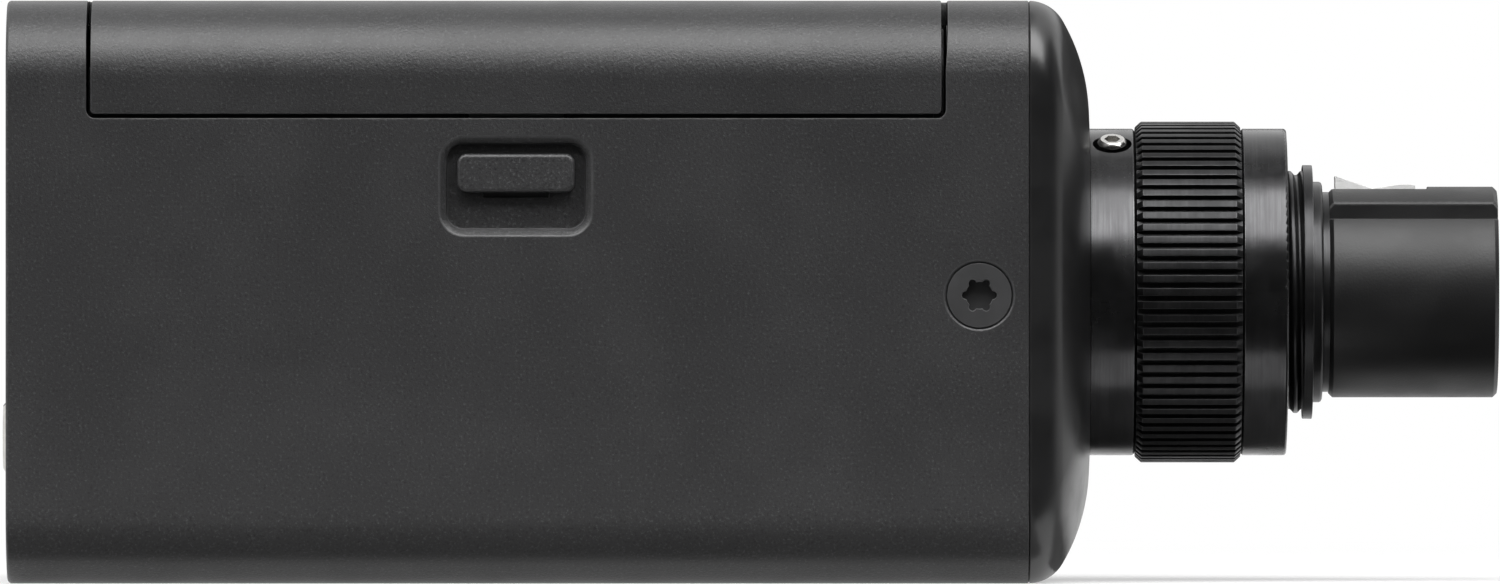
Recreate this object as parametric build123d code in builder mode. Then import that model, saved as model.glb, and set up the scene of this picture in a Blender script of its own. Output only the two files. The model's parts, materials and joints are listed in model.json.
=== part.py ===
"""Plug-on wireless microphone transmitter: case, battery bay, boards, clamping collar and XLR socket.

+X points from the tail to the connector's tip, +Z is up with the battery door on top, and the
case stands on z = 0 with the origin under the middle of its length. Right is -Y, left is +Y.
"""

import os
from math import asin, atan2, cos, degrees, pi, radians, sin

from build123d import *

os.makedirs("parts", exist_ok=True)

RIGHT = -1
LEFT = 1

# ---------------------------------------------------------------- driving dimensions, millimetres
# Case
case_length = 75.7
case_width = 40.0
case_height = 43.2
case_wall = 1.8
case_corner = 5.8
edge_break = 0.3
seam_break = 0.12

# Domed front end
dome_length = 4.66
dome_edge_radius = 3.0
dome_face_radius = 14.2
dome_face_straight = 0.33
dome_plate = 3.1
dome_spigot = 6.0
dome_spigot_wall = 1.6
dome_steps = 14

# Collar and connector, lengths along the axis from the dome's face to the tip
neck_length = 3.39
grip_length = 7.94
lip_length = 3.17
lip_bulge = 0.22
thread_show = 1.22
disc_length = 0.72
step_length = 0.74
groove_length = 0.49
nose_length = 12.58

# Collar and connector, radii
neck_radius = 12.2
grip_crest = 12.73
grip_root = 12.25
grip_teeth = 81
grip_crest_share = 0.56
grip_chamfer = 0.45
hub_radius = 11.55
thread_radius = 9.05
disc_radius = 9.48
step_radius = 8.24
groove_radius = 7.47
nose_radius = 7.87
barrel_tail_radius = 8.6
barrel_tail_proud = 1.2
barrel_nut_radius = 12.0
barrel_nut_length = 2.5
barrel_bore = 7.05
nose_wall = 1.32
collar_spigot_radius = 10.3
collar_edge = 0.15
push_ring_radius = 11.0
push_ring_wall = 1.15
push_ring_length = 1.9

# Battery door
door_margin = 6.26
door_front_margin = 6.48
door_skirt = 8.44
door_gap = 0.3
door_corner = 0.35
hinge_inset = 1.5
hinge_depth = 0.85
hinge_pin_radius = 0.4
hinge_pin_length = 26.8
hinge_ear_radius = 0.8
hinge_ear_width = 3.0
hinge_ear_y = 9.5
swing_relief = 0.15
door_tab_width = 6.0
door_tab_lap = 0.4
door_tab_root = 0.8

# Door catches, one on each long side
pocket_width = 10.3
pocket_height = 6.33
pocket_corner = 1.3
pocket_depth = 1.3
pocket_bevel = 0.5
pocket_below_door = 2.19
knob_width = 8.7
knob_height = 2.85
knob_corner = 0.7
knob_top_gap = 0.75
knob_proud = -0.05
catch_travel = 2.0
stem_width = 4.6
stem_height = 1.0
catch_pad = 0.6
catch_plate_thickness = 0.8
catch_plate_width = 11.8
catch_plate_height = 8.5
hook_width = 7.0
hook_tooth = 0.1
lug_depth = 0.45
lug_height = 1.0
rail_wall = 1.0
rail_lip = 0.6
catch_spring_radius = 0.8
catch_spring_length = 4.0
catch_spring_wire = 0.24
catch_spring_turns = 7
spring_seat = 1.0

# Battery bay
cell_radius = 7.1
cell_length = 49.2
cell_button_radius = 2.7
cell_button = 1.0
cell_spacing = 14.8
cell_headroom = 0.4
cell_play = 0.3
tray_wall = 1.0
tray_floor = 1.2
tray_rise = 2.8
tray_end_rise = 5.3
deck_thickness = 1.0
deck_drop = 0.56
deck_rim = 0.8
deck_rim_height = 1.0
rear_wall_height = 4.0
ledge_inset = 0.4
ledge_length = 2.6
ledge_depth = 1.6
ledge_height = 1.2
contact_gap = 3.2
contact_plate = 0.4
contact_plate_width = 12.0
contact_plate_height = 9.5
battery_spring_radius = 3.0
battery_spring_wire = 0.6
battery_spring_turns = 2.5

# Tail panel
panel_thickness = 2.4
panel_recess = 0.2
panel_screw_inset = 4.8
panel_screw_low_z = 4.6
panel_screw_below_top = 12.6
panel_boss = 2.1
panel_boss_length = 5.95
jack_proud = 0.73
jack_z = 10.74
jack_radius = 2.825
jack_bore = 1.8
jack_recess_radius = 4.75
jack_recess = 1.4
jack_body_length = 14.0
jack_floor = 1.0
jack_body_width = 8.4
power_above_axis = 2.4
power_radius = 4.0
power_travel = 0.6
power_flange = 0.8
port_y = 10.5
usb_width = 8.94
usb_height = 3.2
usb_length = 7.3
light_radius = 0.8
light_pipe_tail = 2.0
led_size = 1.6
usb_wall = 0.3
usb_recess = 0.3
usb_tongue_width = 6.7
usb_tongue_height = 0.7
usb_tongue_recess = 0.6
jack_thread = 1.5
power_switch_length = 2.2
power_switch_body = 1.6
power_switch_width = 6.0
power_switch_plunger = 1.6

# Boards
board_thickness = 1.2
board_z = 6.0
board_front_gap = 9.1
board_edge_gap = 2.0
standoff_radius = 2.2
standoff_x = 23.0
standoff_y = 9.6
key_board_inset = 3.8
key_board_rise = 6.9
key_board_margin = 0.8
rear_board_width = 18.0
rear_board_above = 6.0
shield_length = 24.0
shield_width = 15.0
shield_height = 3.0
shield_wall = 0.3

# Display and keys on the left side
control_below_top = 27.2
display_from_tail = 20.55
window_width = 22.0
window_height = 11.0
window_thickness = 0.9
window_ledge = 1.0
window_rim = 1.0
window_hole_corner = 0.6
display_thickness = 2.2
display_rim = 1.0
key_from_display = 18.5
key_pitch = 8.0
key_width = 5.6
key_height = 3.4
key_travel = 0.4
key_flange = 0.6
key_flange_rim = 0.5
key_switch_height = 1.0
window_corner = 1.0

# XLR insert and latch
pin_circle = 4.0
pin_angles = (45, 135, 270)
contact_bore = 1.22
contact_wall = 0.4
contact_length = 10.5
contact_floor = 1.5
contact_recess = 0.5
contact_tail_radius = 0.6
insert_recess = 0.35
insert_tail = 2.0
xlr_board_thickness = 1.0
latch_slot_width = 3.2
latch_slot_floor = 4.7
latch_width = 2.8
latch_peak = 8.66
latch_start = 0.48
latch_length = 6.0
latch_slope = 2.8
latch_slope_radius = 7.72
latch_heel = 4.9
latch_heel_radius = 8.05
latch_tail_radius = 7.93
latch_hook_foot = 6.3
latch_tail_foot = 5.7
latch_pivot_inset = 0.68
latch_pivot_r = 6.6
latch_leaf = 0.15
latch_leaf_x = 0.5
latch_leaf_foot = 3.65
latch_slot_spare = 0.9
latch_pin_length = 5.2
latch_pin_radius = 0.4
rail_half_width = 4.15
rail_step = 5.42

# Fasteners
side_screw_head = 2.4
side_screw_hole = 2.575
side_screw_head_height = 1.5
side_screw_radius = 1.2
side_screw_length = 6.0
side_screw_setback = 3.69
side_screw_below_axis = 0.25
set_screw_radius = 1.42
set_screw_from_neck = 1.71
set_screw_angle = 25.0
set_screw_proud = 0.4
small_screw_head = 1.9
small_screw_radius = 0.95
small_screw_length = 5.0
small_screw_head_height = 1.2
socket_share = 0.42
lobe_share = 0.12
socket_depth_share = 0.7

# Clearances of parts that are pushed together, that turn, that slide past, and that lie loose
snug = 0.05
running = 0.03
free = 0.1
seat = 0.3

# ---------------------------------------------------------------- stations along X
overall_length = (
    jack_proud + case_length + dome_length + neck_length + grip_length + lip_length + lip_bulge
    + thread_show + disc_length + step_length + groove_length + nose_length
)
tail_x = jack_proud - overall_length / 2
seam_x = tail_x + case_length
dome_x = seam_x + dome_length
neck_x = dome_x + neck_length
grip_x = neck_x + grip_length
lip_x = grip_x + lip_length
lip_face_x = lip_x + lip_bulge
disc_x = lip_face_x + thread_show
step_x = disc_x + disc_length
groove_x = step_x + step_length
nose_x = groove_x + groove_length
tip_x = nose_x + nose_length

side_screw_x = seam_x - side_screw_setback
side_screw_taper = degrees(atan2(side_screw_head - side_screw_radius, side_screw_head_height))
axis_z = case_height / 2
half_width = case_width / 2
side_screw_z = axis_z - side_screw_below_axis
inner_half = half_width - case_wall
inner_top = case_height - case_wall

# ---------------------------------------------------------------- door, hinge and catches
door_x0 = tail_x + door_margin
door_x1 = seam_x - door_front_margin
door_length = door_x1 - door_x0
door_z = case_height - door_skirt
door_mid_x = (door_x0 + door_x1) / 2
opening_x0 = door_x0 - door_gap
opening_x1 = door_x1 + door_gap
opening_z = door_z - door_gap
pivot_x = door_x0 + hinge_inset
pivot_z = case_height - hinge_depth
swing_radius = opening_x1 - pivot_x + swing_relief
door_swing_radius = swing_radius - 2 * running

pocket_top = door_z - pocket_below_door
pocket_z = pocket_top - pocket_height / 2
knob_z = pocket_top - knob_top_gap - knob_height / 2
stem_z = knob_z + (knob_height - stem_height) / 2 - free
stem_slot_z = stem_z - catch_travel / 2
stem_slot_height = stem_height + catch_travel + 2 * free
pad_depth = case_wall + catch_pad
plate_depth = pad_depth + free
plate_back = plate_depth + catch_plate_thickness

# ---------------------------------------------------------------- battery bay
cell_z = inner_top - cell_headroom - cell_radius
tray_floor_top = cell_z - cell_radius - cell_play
tray_bottom = tray_floor_top - tray_floor
tray_inner_half = cell_spacing / 2 + cell_radius + cell_play
tray_outer_half = tray_inner_half + tray_wall
cell_reach = cell_length + cell_button
tray_inner_length = cell_reach + contact_gap + 2 * contact_plate + cell_play
tray_x0 = door_mid_x - tray_inner_length / 2 - tray_wall
tray_x1 = door_mid_x + tray_inner_length / 2 + tray_wall
deck_top = door_z - deck_drop
deck_bottom = deck_top - deck_thickness
deck_half = inner_half - free
rim_half = inner_half - lug_depth - free

plate_top = deck_bottom - free
plate_bottom = plate_top - catch_plate_height
spring_seat_z = plate_bottom - catch_spring_length
lug_z = door_z + door_gap
hook_top = lug_z + 2 * lug_height

# ---------------------------------------------------------------- tail panel and boards
panel_x = tail_x + panel_recess
panel_back_x = panel_x + panel_thickness
panel_screw_y = half_width - panel_screw_inset
panel_screw_high_z = case_height - panel_screw_below_top
power_z = axis_z + power_above_axis
board_top = board_z + board_thickness
board_x0 = panel_back_x + board_edge_gap
board_x1 = seam_x - board_front_gap
board_mid_x = (board_x0 + board_x1) / 2
key_board_y = inner_half - key_board_inset
key_board_back = key_board_y + board_thickness
board_half_width = key_board_back
power_flange_x = panel_back_x + free
power_switch_x = power_flange_x + power_flange + power_travel + snug
rear_board_x = power_switch_x + power_switch_length
port_z = board_top + usb_height / 2
usb_x = panel_x + usb_recess
light_pipe_x1 = panel_back_x + light_pipe_tail
jack_x0 = tail_x - jack_proud
jack_x1 = panel_back_x + jack_thread
jack_bore_x1 = panel_back_x + jack_body_length - jack_floor
small_screw_taper = degrees(atan2(small_screw_head - small_screw_radius, small_screw_head_height))
panel_screw_planes = [
    Plane(origin=(panel_x, side * panel_screw_y, z), x_dir=(0, -1, 0), z_dir=(-1, 0, 0))
    for side in (RIGHT, LEFT)
    for z in (panel_screw_low_z, panel_screw_high_z)
]
key_flange_y = inner_half - free - key_flange
key_switch_y = key_board_back + key_switch_height
control_z = case_height - control_below_top
display_x = tail_x + display_from_tail
key_first_x = display_x + key_from_display

# ---------------------------------------------------------------- collar and connector
nose_bore = nose_radius - nose_wall
insert_radius = nose_bore - snug
insert_x0 = nose_x - insert_tail
insert_x1 = tip_x - insert_recess
contact_x1 = insert_x1 - contact_recess
contact_x0 = contact_x1 - contact_length
xlr_board_x = insert_x0 - free - xlr_board_thickness
dome_inner_x = dome_x - dome_plate
barrel_nut_x = dome_inner_x - barrel_nut_length
barrel_x0 = barrel_nut_x - barrel_tail_proud
push_ring_x = lip_face_x - seat - push_ring_length
latch_x0 = nose_x + latch_start
latch_x1 = latch_x0 + latch_length
latch_slot_x1 = latch_x1 + latch_slot_spare
latch_pivot_x = latch_x1 - latch_pivot_inset
contact_radius = contact_bore + contact_wall
pin_places = [
    (pin_circle * cos(radians(angle)), axis_z + pin_circle * sin(radians(angle))) for angle in pin_angles
]
nut_bore = thread_radius + free
groove_width = (1 - grip_crest_share) * 2 * pi * grip_crest / grip_teeth
set_screw_axis = Axis((0, 0, 0), (0, -sin(radians(set_screw_angle)), cos(radians(set_screw_angle))))
set_screw_plane = Plane(
    origin=(neck_x - set_screw_from_neck, 0, axis_z), x_dir=(1, 0, 0), z_dir=set_screw_axis.direction
)


# ---------------------------------------------------------------- planes and profiles
def section_at(x):
    """The plane across the long axis at x: local x is +Y and local y is +Z from the axis."""
    return Plane(origin=(x, 0, axis_z), x_dir=(0, 1, 0), z_dir=(1, 0, 0))


def side_at(y):
    """A plane parallel to the long sides at y: local x is +X, local y is +Z, normal -Y."""
    return Plane(origin=(0, y, 0), x_dir=(1, 0, 0), z_dir=(0, -1, 0))


def flank(side, depth):
    """A plane under a long side's surface, with its normal pointing out of the case."""
    return Plane(origin=(0, side * (half_width - depth), 0), x_dir=(-side, 0, 0), z_dir=(0, side, 0))


def spot(side, x, z):
    """The place (x, z) of a long side in the local coordinates of its flank plane."""
    return (-side * x, z)


def case_outline(inset):
    """The case's rounded outline, drawn in by an inset."""
    return RectangleRounded(
        case_width - 2 * inset, case_height - 2 * inset, case_corner - min(inset, case_corner - 0.5)
    )


def box_between(x0, x1, y0, y1, z0, z1, mode=Mode.ADD):
    """A box given by its limits."""
    with Locations(((x0 + x1) / 2, (y0 + y1) / 2, (z0 + z1) / 2)):
        Box(abs(x1 - x0), abs(y1 - y0), abs(z1 - z0), mode=mode)


def rod_between(x0, x1, y, z, radius, mode=Mode.ADD):
    """A round rod along X given by its ends."""
    with BuildSketch(Plane(origin=(x0, y, z), x_dir=(0, 1, 0), z_dir=(1, 0, 0))) as disc:
        Circle(radius)
    extrude(disc.sketch, amount=x1 - x0, mode=mode)


def turned(points, mode=Mode.ADD):
    """A part turned about the connector's axis from (x, radius) points."""
    with BuildSketch(Plane(origin=(0, 0, axis_z), x_dir=(1, 0, 0), z_dir=(0, -1, 0))) as profile:
        with BuildLine():
            Polyline(*points, close=True)
        make_face()
    revolve(profile.sketch, axis=Axis((0, 0, axis_z), (1, 0, 0)), mode=mode)


def dome_section(angle):
    """Where the dome's outline has turned by an angle: its distance from the seam and its inset."""
    blend = asin((dome_face_radius - dome_length) / (dome_face_radius - dome_edge_radius))
    first = min(angle, blend)
    along = dome_edge_radius * sin(first)
    inset = dome_edge_radius * (1 - cos(first))
    if angle > blend:
        along += dome_face_radius * (sin(angle) - sin(blend))
        inset += dome_face_radius * (cos(blend) - cos(angle))
    return along, inset


dome_inset = dome_section(radians(90))[1]
dome_face_corner = min(case_width, case_height) / 2 - dome_inset - dome_face_straight


def coil(radius, wire, length, turns, plane):
    """A coil spring along the plane's normal, from its origin."""
    rise = length - wire
    with BuildLine() as path:
        Helix(
            pitch=rise / turns, height=rise, radius=radius - wire / 2,
            center=plane.offset(wire / 2).origin, direction=plane.z_dir,
        )
    start = path.edges()[0]
    with BuildSketch(Plane(origin=start @ 0, z_dir=start % 0)) as section:
        Circle(wire / 2)
    sweep(section.sketch, path=path.line, is_frenet=True)


def countersunk_screw(plane, head, height, radius, length):
    """A flat-head screw with a six-lobe socket, its head's face on the plane, its shank behind it."""
    with BuildSketch(plane) as face:
        Circle(head)
    extrude(face.sketch, amount=-height, taper=degrees(atan2(head - radius, height)))
    with BuildSketch(plane) as shank:
        Circle(radius)
    extrude(shank.sketch, amount=-length)
    with BuildSketch(plane) as socket:
        Circle(head * socket_share)
        with PolarLocations(head * socket_share, 6):
            Circle(head * lobe_share)
    extrude(socket.sketch, amount=-height * socket_depth_share, mode=Mode.SUBTRACT)


def cell_flat_x(side):
    """Where a cell's flat end is: the right cell's faces the tail, the left cell's the nose."""
    spring_room = tray_wall + contact_plate + contact_gap
    return tray_x0 + spring_room if side == RIGHT else tray_x1 - spring_room


def finish(part, label):
    """Names a finished piece and writes it."""
    part.label = label
    export_step(part, f"parts/{label}.step")


# ---------------------------------------------------------------- case
with BuildPart() as housing:
    with BuildSketch(section_at(tail_x)):
        case_outline(0)
    extrude(amount=case_length)
    fillet(housing.faces().sort_by(Axis.X)[0].edges(), edge_break)
    fillet(housing.faces().sort_by(Axis.X)[-1].edges(), seam_break)
    with BuildSketch(section_at(tail_x)):
        case_outline(case_wall)
    extrude(amount=case_length, mode=Mode.SUBTRACT)
    # Opening under the battery door, over the whole top
    with BuildSketch(side_at(0)):
        with Locations(((opening_x0 + opening_x1) / 2, opening_z + case_height / 2)):
            RectangleRounded(opening_x1 - opening_x0, case_height, door_corner + door_gap)
    extrude(amount=case_width, both=True, mode=Mode.SUBTRACT)
    # The opening's front edge gives way to the swing of the door's free end
    with BuildSketch(side_at(0)):
        with Locations((pivot_x, pivot_z)):
            Circle(swing_radius)
        with Locations((opening_x1, opening_z + case_height / 2)):
            Rectangle(2 * case_wall, case_height, mode=Mode.INTERSECT)
    extrude(amount=case_width, both=True, mode=Mode.SUBTRACT)
    # Recess for the tab of the door's free end
    box_between(
        opening_x1 - seat, opening_x1 + door_tab_lap + seat,
        -door_tab_width / 2 - seat, door_tab_width / 2 + seat, inner_top - seat, case_height,
        Mode.SUBTRACT,
    )
    # Hinge ears, standing out of the rear bridge
    for side in (RIGHT, LEFT):
        with BuildSketch(side_at(side * hinge_ear_y)):
            with Locations((pivot_x, pivot_z)):
                Circle(hinge_ear_radius)
            with Locations(((opening_x0 - case_wall + pivot_x) / 2, pivot_z)):
                Rectangle(pivot_x - opening_x0 + case_wall, 2 * hinge_ear_radius)
        extrude(amount=hinge_ear_width / 2, both=True)
    with BuildSketch(side_at(0)):
        with Locations((pivot_x, pivot_z)):
            Circle(hinge_pin_radius + running / 3)
    extrude(amount=hinge_pin_length / 2 + free, both=True, mode=Mode.SUBTRACT)
    # Bosses for the tail panel's screws
    for side in (RIGHT, LEFT):
        for z in (panel_screw_low_z, panel_screw_high_z):
            box_between(
                panel_back_x, panel_back_x + panel_boss_length,
                side * (panel_screw_y - panel_boss), side * (inner_half + case_wall / 2),
                z - panel_boss, z + panel_boss,
            )
            rod_between(
                panel_back_x, panel_back_x + panel_boss_length,
                side * panel_screw_y, z, small_screw_radius + running, Mode.SUBTRACT,
            )
    with BuildSketch(section_at(tail_x)):
        case_outline(0)
    extrude(amount=case_length, mode=Mode.INTERSECT)
    # Standoffs for the main board
    with BuildSketch(Plane.XY.offset(case_wall / 2)):
        with Locations((board_mid_x, 0)):
            with GridLocations(2 * standoff_x, 2 * standoff_y, 2, 2):
                Circle(standoff_radius)
    extrude(amount=board_z - case_wall / 2)
    with BuildSketch(Plane.XY.offset(board_z)):
        with Locations((board_mid_x, 0)):
            with GridLocations(2 * standoff_x, 2 * standoff_y, 2, 2):
                Circle(small_screw_radius + running)
    extrude(amount=case_wall - board_z, mode=Mode.SUBTRACT)
    for side in (RIGHT, LEFT):
        # Ledges that carry the battery tray
        for x in (opening_x0 + ledge_inset, opening_x1 - ledge_inset - ledge_length):
            box_between(
                x, x + ledge_length, side * (inner_half - ledge_depth),
                side * (inner_half + case_wall / 2), deck_bottom - ledge_height, deck_bottom,
            )
        # Pad, guide rails and spring seat of the catch
        box_between(
            door_mid_x - catch_plate_width / 2 - rail_wall - free,
            door_mid_x + catch_plate_width / 2 + rail_wall + free,
            side * (half_width - pad_depth), side * (inner_half + case_wall / 2),
            plate_bottom + free, plate_top,
        )
        for end in (-1, 1):
            rail_x = door_mid_x + end * (catch_plate_width / 2 + free)
            box_between(
                rail_x, rail_x + end * rail_wall, side * (half_width - plate_back - free - rail_lip),
                side * inner_half, plate_bottom + free, plate_top,
            )
            box_between(
                rail_x - end * rail_lip, rail_x + end * rail_wall,
                side * (half_width - plate_back - free - rail_lip),
                side * (half_width - plate_back - free), plate_bottom + free, plate_top,
            )
        box_between(
            door_mid_x - 2 * catch_spring_radius, door_mid_x + 2 * catch_spring_radius,
            side * (half_width - plate_back - free - rail_lip), side * (inner_half + case_wall / 2),
            spring_seat_z - spring_seat, spring_seat_z,
        )
        # Pocket of the catch knob, with its bevelled rim and the slot for the stem
        with BuildSketch(flank(side, pocket_depth)):
            with Locations(spot(side, door_mid_x, pocket_z)):
                RectangleRounded(pocket_width, pocket_height, pocket_corner)
        extrude(amount=pocket_depth, mode=Mode.SUBTRACT)
        face = housing.faces().filter_by(Axis.Y).sort_by(Axis.Y)[-1 if side == LEFT else 0]
        chamfer(face.inner_wires().sort_by(Wire.length)[-1].edges(), pocket_bevel)
        with BuildSketch(flank(side, pad_depth)):
            with Locations(spot(side, door_mid_x, stem_slot_z)):
                Rectangle(stem_width + 2 * free, stem_slot_height)
        extrude(amount=pad_depth, mode=Mode.SUBTRACT)
        # Seats of the screws that hold the dome
        with BuildSketch(flank(side, 0)):
            with Locations(spot(side, side_screw_x, side_screw_z)):
                Circle(side_screw_hole)
        extrude(amount=-side_screw_head_height, taper=side_screw_taper, mode=Mode.SUBTRACT)
        with BuildSketch(flank(side, 0)):
            with Locations(spot(side, side_screw_x, side_screw_z)):
                Circle(side_screw_radius + running)
        extrude(amount=-case_wall, mode=Mode.SUBTRACT)
    # Display window and key holes, left side only
    with BuildSketch(flank(LEFT, window_ledge)):
        with Locations(spot(LEFT, display_x, control_z)):
            RectangleRounded(window_width + 2 * snug, window_height + 2 * snug, window_corner + snug)
    extrude(amount=window_ledge, mode=Mode.SUBTRACT)
    with BuildSketch(flank(LEFT, case_wall)):
        with Locations(spot(LEFT, display_x, control_z)):
            RectangleRounded(
                window_width - 2 * window_rim, window_height - 2 * window_rim, window_hole_corner
            )
    extrude(amount=case_wall, mode=Mode.SUBTRACT)
    with BuildSketch(flank(LEFT, case_wall)):
        for i in range(3):
            with Locations(spot(LEFT, key_first_x + i * key_pitch, control_z)):
                SlotOverall(key_width + 2 * free, key_height + 2 * free)
    extrude(amount=case_wall, mode=Mode.SUBTRACT)
finish(housing.part, "housing")


with BuildPart() as end_panel:
    with BuildSketch(section_at(panel_x)):
        case_outline(case_wall + snug)
    extrude(amount=panel_thickness)
    rod_between(panel_x, panel_x + jack_recess, 0, jack_z, jack_recess_radius, Mode.SUBTRACT)
    rod_between(panel_x, panel_back_x, 0, jack_z, jack_radius + snug, Mode.SUBTRACT)
    rod_between(panel_x, panel_back_x, 0, power_z, power_radius + free, Mode.SUBTRACT)
    rod_between(panel_x, panel_back_x, -port_y, port_z, light_radius + snug, Mode.SUBTRACT)
    with BuildSketch(Plane(origin=(panel_x, port_y, port_z), x_dir=(0, 1, 0), z_dir=(1, 0, 0))):
        RectangleRounded(usb_width + 2 * free, usb_height + 2 * free, usb_height / 2 - snug)
    extrude(amount=panel_thickness, mode=Mode.SUBTRACT)
    for plane in panel_screw_planes:
        with BuildSketch(plane) as seat_circle:
            Circle(small_screw_head + snug)
        extrude(
            seat_circle.sketch, amount=-small_screw_head_height, taper=small_screw_taper, mode=Mode.SUBTRACT
        )
        with BuildSketch(plane) as hole_circle:
            Circle(small_screw_radius + free)
        extrude(hole_circle.sketch, amount=-panel_thickness, mode=Mode.SUBTRACT)
finish(end_panel.part, "end_panel")

with BuildPart() as end_panel_screws:
    for plane in panel_screw_planes:
        countersunk_screw(
            plane, small_screw_head, small_screw_head_height, small_screw_radius, small_screw_length
        )
finish(end_panel_screws.part, "end_panel_screws")

with BuildPart() as end_dome:
    for step in range(dome_steps + 1):
        along, inset = dome_section(radians(90 * step / dome_steps))
        corner = case_corner + (dome_face_corner - case_corner) * inset / dome_inset
        with BuildSketch(section_at(seam_x + along)):
            RectangleRounded(case_width - 2 * inset, case_height - 2 * inset, corner)
    loft(ruled=True)
    with BuildSketch(section_at(seam_x - dome_spigot)):
        case_outline(case_wall + snug)
    extrude(amount=dome_spigot)
    with BuildSketch(section_at(seam_x - dome_spigot)):
        case_outline(case_wall + snug + dome_spigot_wall)
    extrude(amount=dome_spigot + dome_inner_x - seam_x, mode=Mode.SUBTRACT)
    rod_between(dome_inner_x, dome_x, 0, axis_z, collar_spigot_radius + snug, Mode.SUBTRACT)
    for side in (RIGHT, LEFT):
        box_between(
            side_screw_x - side_screw_head, side_screw_x + side_screw_head,
            side * (half_width - side_screw_length), side * (inner_half - snug),
            side_screw_z - side_screw_head, side_screw_z + side_screw_head,
        )
        with BuildSketch(flank(side, case_wall)):
            with Locations(spot(side, side_screw_x, side_screw_z)):
                Circle(side_screw_radius + running)
        extrude(amount=-side_screw_length, mode=Mode.SUBTRACT)
finish(end_dome.part, "end_dome")

with BuildPart() as dome_screws:
    for side in (RIGHT, LEFT):
        at = flank(side, 0).from_local_coords(Vector(*spot(side, side_screw_x, side_screw_z), 0))
        countersunk_screw(
            Plane(origin=at, x_dir=(-side, 0, 0), z_dir=(0, side, 0)),
            side_screw_head, side_screw_head_height, side_screw_radius, side_screw_length,
        )
finish(dome_screws.part, "dome_screws")

with BuildPart() as hinge_pin:
    with BuildSketch(side_at(0)):
        with Locations((pivot_x, pivot_z)):
            Circle(hinge_pin_radius)
    extrude(amount=hinge_pin_length / 2, both=True)
finish(hinge_pin.part, "hinge_pin")

# ---------------------------------------------------------------- battery bay
with BuildPart() as battery_tray:
    box_between(
        opening_x0 + free, opening_x1 - free, -deck_half, deck_half, deck_bottom, deck_top
    )
    box_between(
        tray_x0, tray_x1, -tray_outer_half, tray_outer_half, tray_bottom, cell_z + tray_end_rise
    )
    box_between(
        tray_x0 + tray_wall, tray_x1 - tray_wall, -tray_inner_half, tray_inner_half,
        tray_floor_top, case_height, Mode.SUBTRACT,
    )
    box_between(
        tray_x0 + tray_wall, tray_x1 - tray_wall, -tray_outer_half, tray_outer_half,
        cell_z + tray_rise, case_height, Mode.SUBTRACT,
    )
    for side in (RIGHT, LEFT):
        box_between(
            door_mid_x - hook_width / 2 - seat, door_mid_x + hook_width / 2 + seat,
            side * (half_width - plate_back - 2 * free), side * half_width,
            deck_bottom, deck_top, Mode.SUBTRACT,
        )
        # Rim inside the door's skirt, so that no light passes under it, open at the catch's hook
        for x0, x1 in (
            (opening_x0 + free, door_mid_x - hook_width / 2 - seat),
            (door_mid_x + hook_width / 2 + seat, opening_x1 - free),
        ):
            box_between(
                x0, x1, side * (rim_half - deck_rim), side * rim_half, deck_bottom, deck_top + deck_rim_height
            )
    # End walls behind the gaps before and behind the door
    with BuildSketch(section_at(opening_x1 - free - deck_rim)):
        case_outline(case_wall + seat)
        with Locations((0, deck_bottom - axis_z + case_height / 2)):
            Rectangle(case_width, case_height, mode=Mode.INTERSECT)
    extrude(amount=deck_rim)
    box_between(
        opening_x0 + free, opening_x0 + free + deck_rim, -rim_half, rim_half,
        deck_bottom, deck_top + rear_wall_height,
    )
finish(battery_tray.part, "battery_tray")

with BuildPart() as aa_cells:
    for side in (RIGHT, LEFT):
        flat_x = cell_flat_x(side)
        toward = -side
        rod_between(flat_x, flat_x + toward * cell_length, side * cell_spacing / 2, cell_z, cell_radius)
        rod_between(
            flat_x + toward * cell_length, flat_x + toward * cell_reach,
            side * cell_spacing / 2, cell_z, cell_button_radius,
        )
finish(aa_cells.part, "aa_cells")

with BuildPart() as contact_plates:
    for side in (RIGHT, LEFT):
        for end_x, inward in ((tray_x0 + tray_wall, 1), (tray_x1 - tray_wall, -1)):
            box_between(
                end_x, end_x + inward * contact_plate,
                side * cell_spacing / 2 - contact_plate_width / 2,
                side * cell_spacing / 2 + contact_plate_width / 2,
                cell_z - contact_plate_height / 2, cell_z + contact_plate_height / 2,
            )
finish(contact_plates.part, "contact_plates")

with BuildPart() as battery_springs:
    for side in (RIGHT, LEFT):
        toward = -side
        start_x = cell_flat_x(side) - toward * (contact_gap - running)
        coil(
            battery_spring_radius, battery_spring_wire, contact_gap - 2 * running, battery_spring_turns,
            Plane(origin=(start_x, side * cell_spacing / 2, cell_z), x_dir=(0, 1, 0), z_dir=(toward, 0, 0)),
        )
finish(battery_springs.part, "battery_springs")

# ---------------------------------------------------------------- boards
with BuildPart() as main_board:
    box_between(board_x0, board_x1, -board_half_width, board_half_width, board_z, board_top)
    for side in (RIGHT, LEFT):
        box_between(
            board_x0, panel_back_x + panel_boss_length + free,
            side * (panel_screw_y - panel_boss - free), side * board_half_width,
            board_z, board_top, Mode.SUBTRACT,
        )
    with BuildSketch(Plane.XY.offset(board_z)):
        with Locations((board_mid_x, 0)):
            with GridLocations(2 * standoff_x, 2 * standoff_y, 2, 2):
                Circle(small_screw_radius + free)
    extrude(amount=board_thickness, mode=Mode.SUBTRACT)
finish(main_board.part, "main_board")

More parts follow.
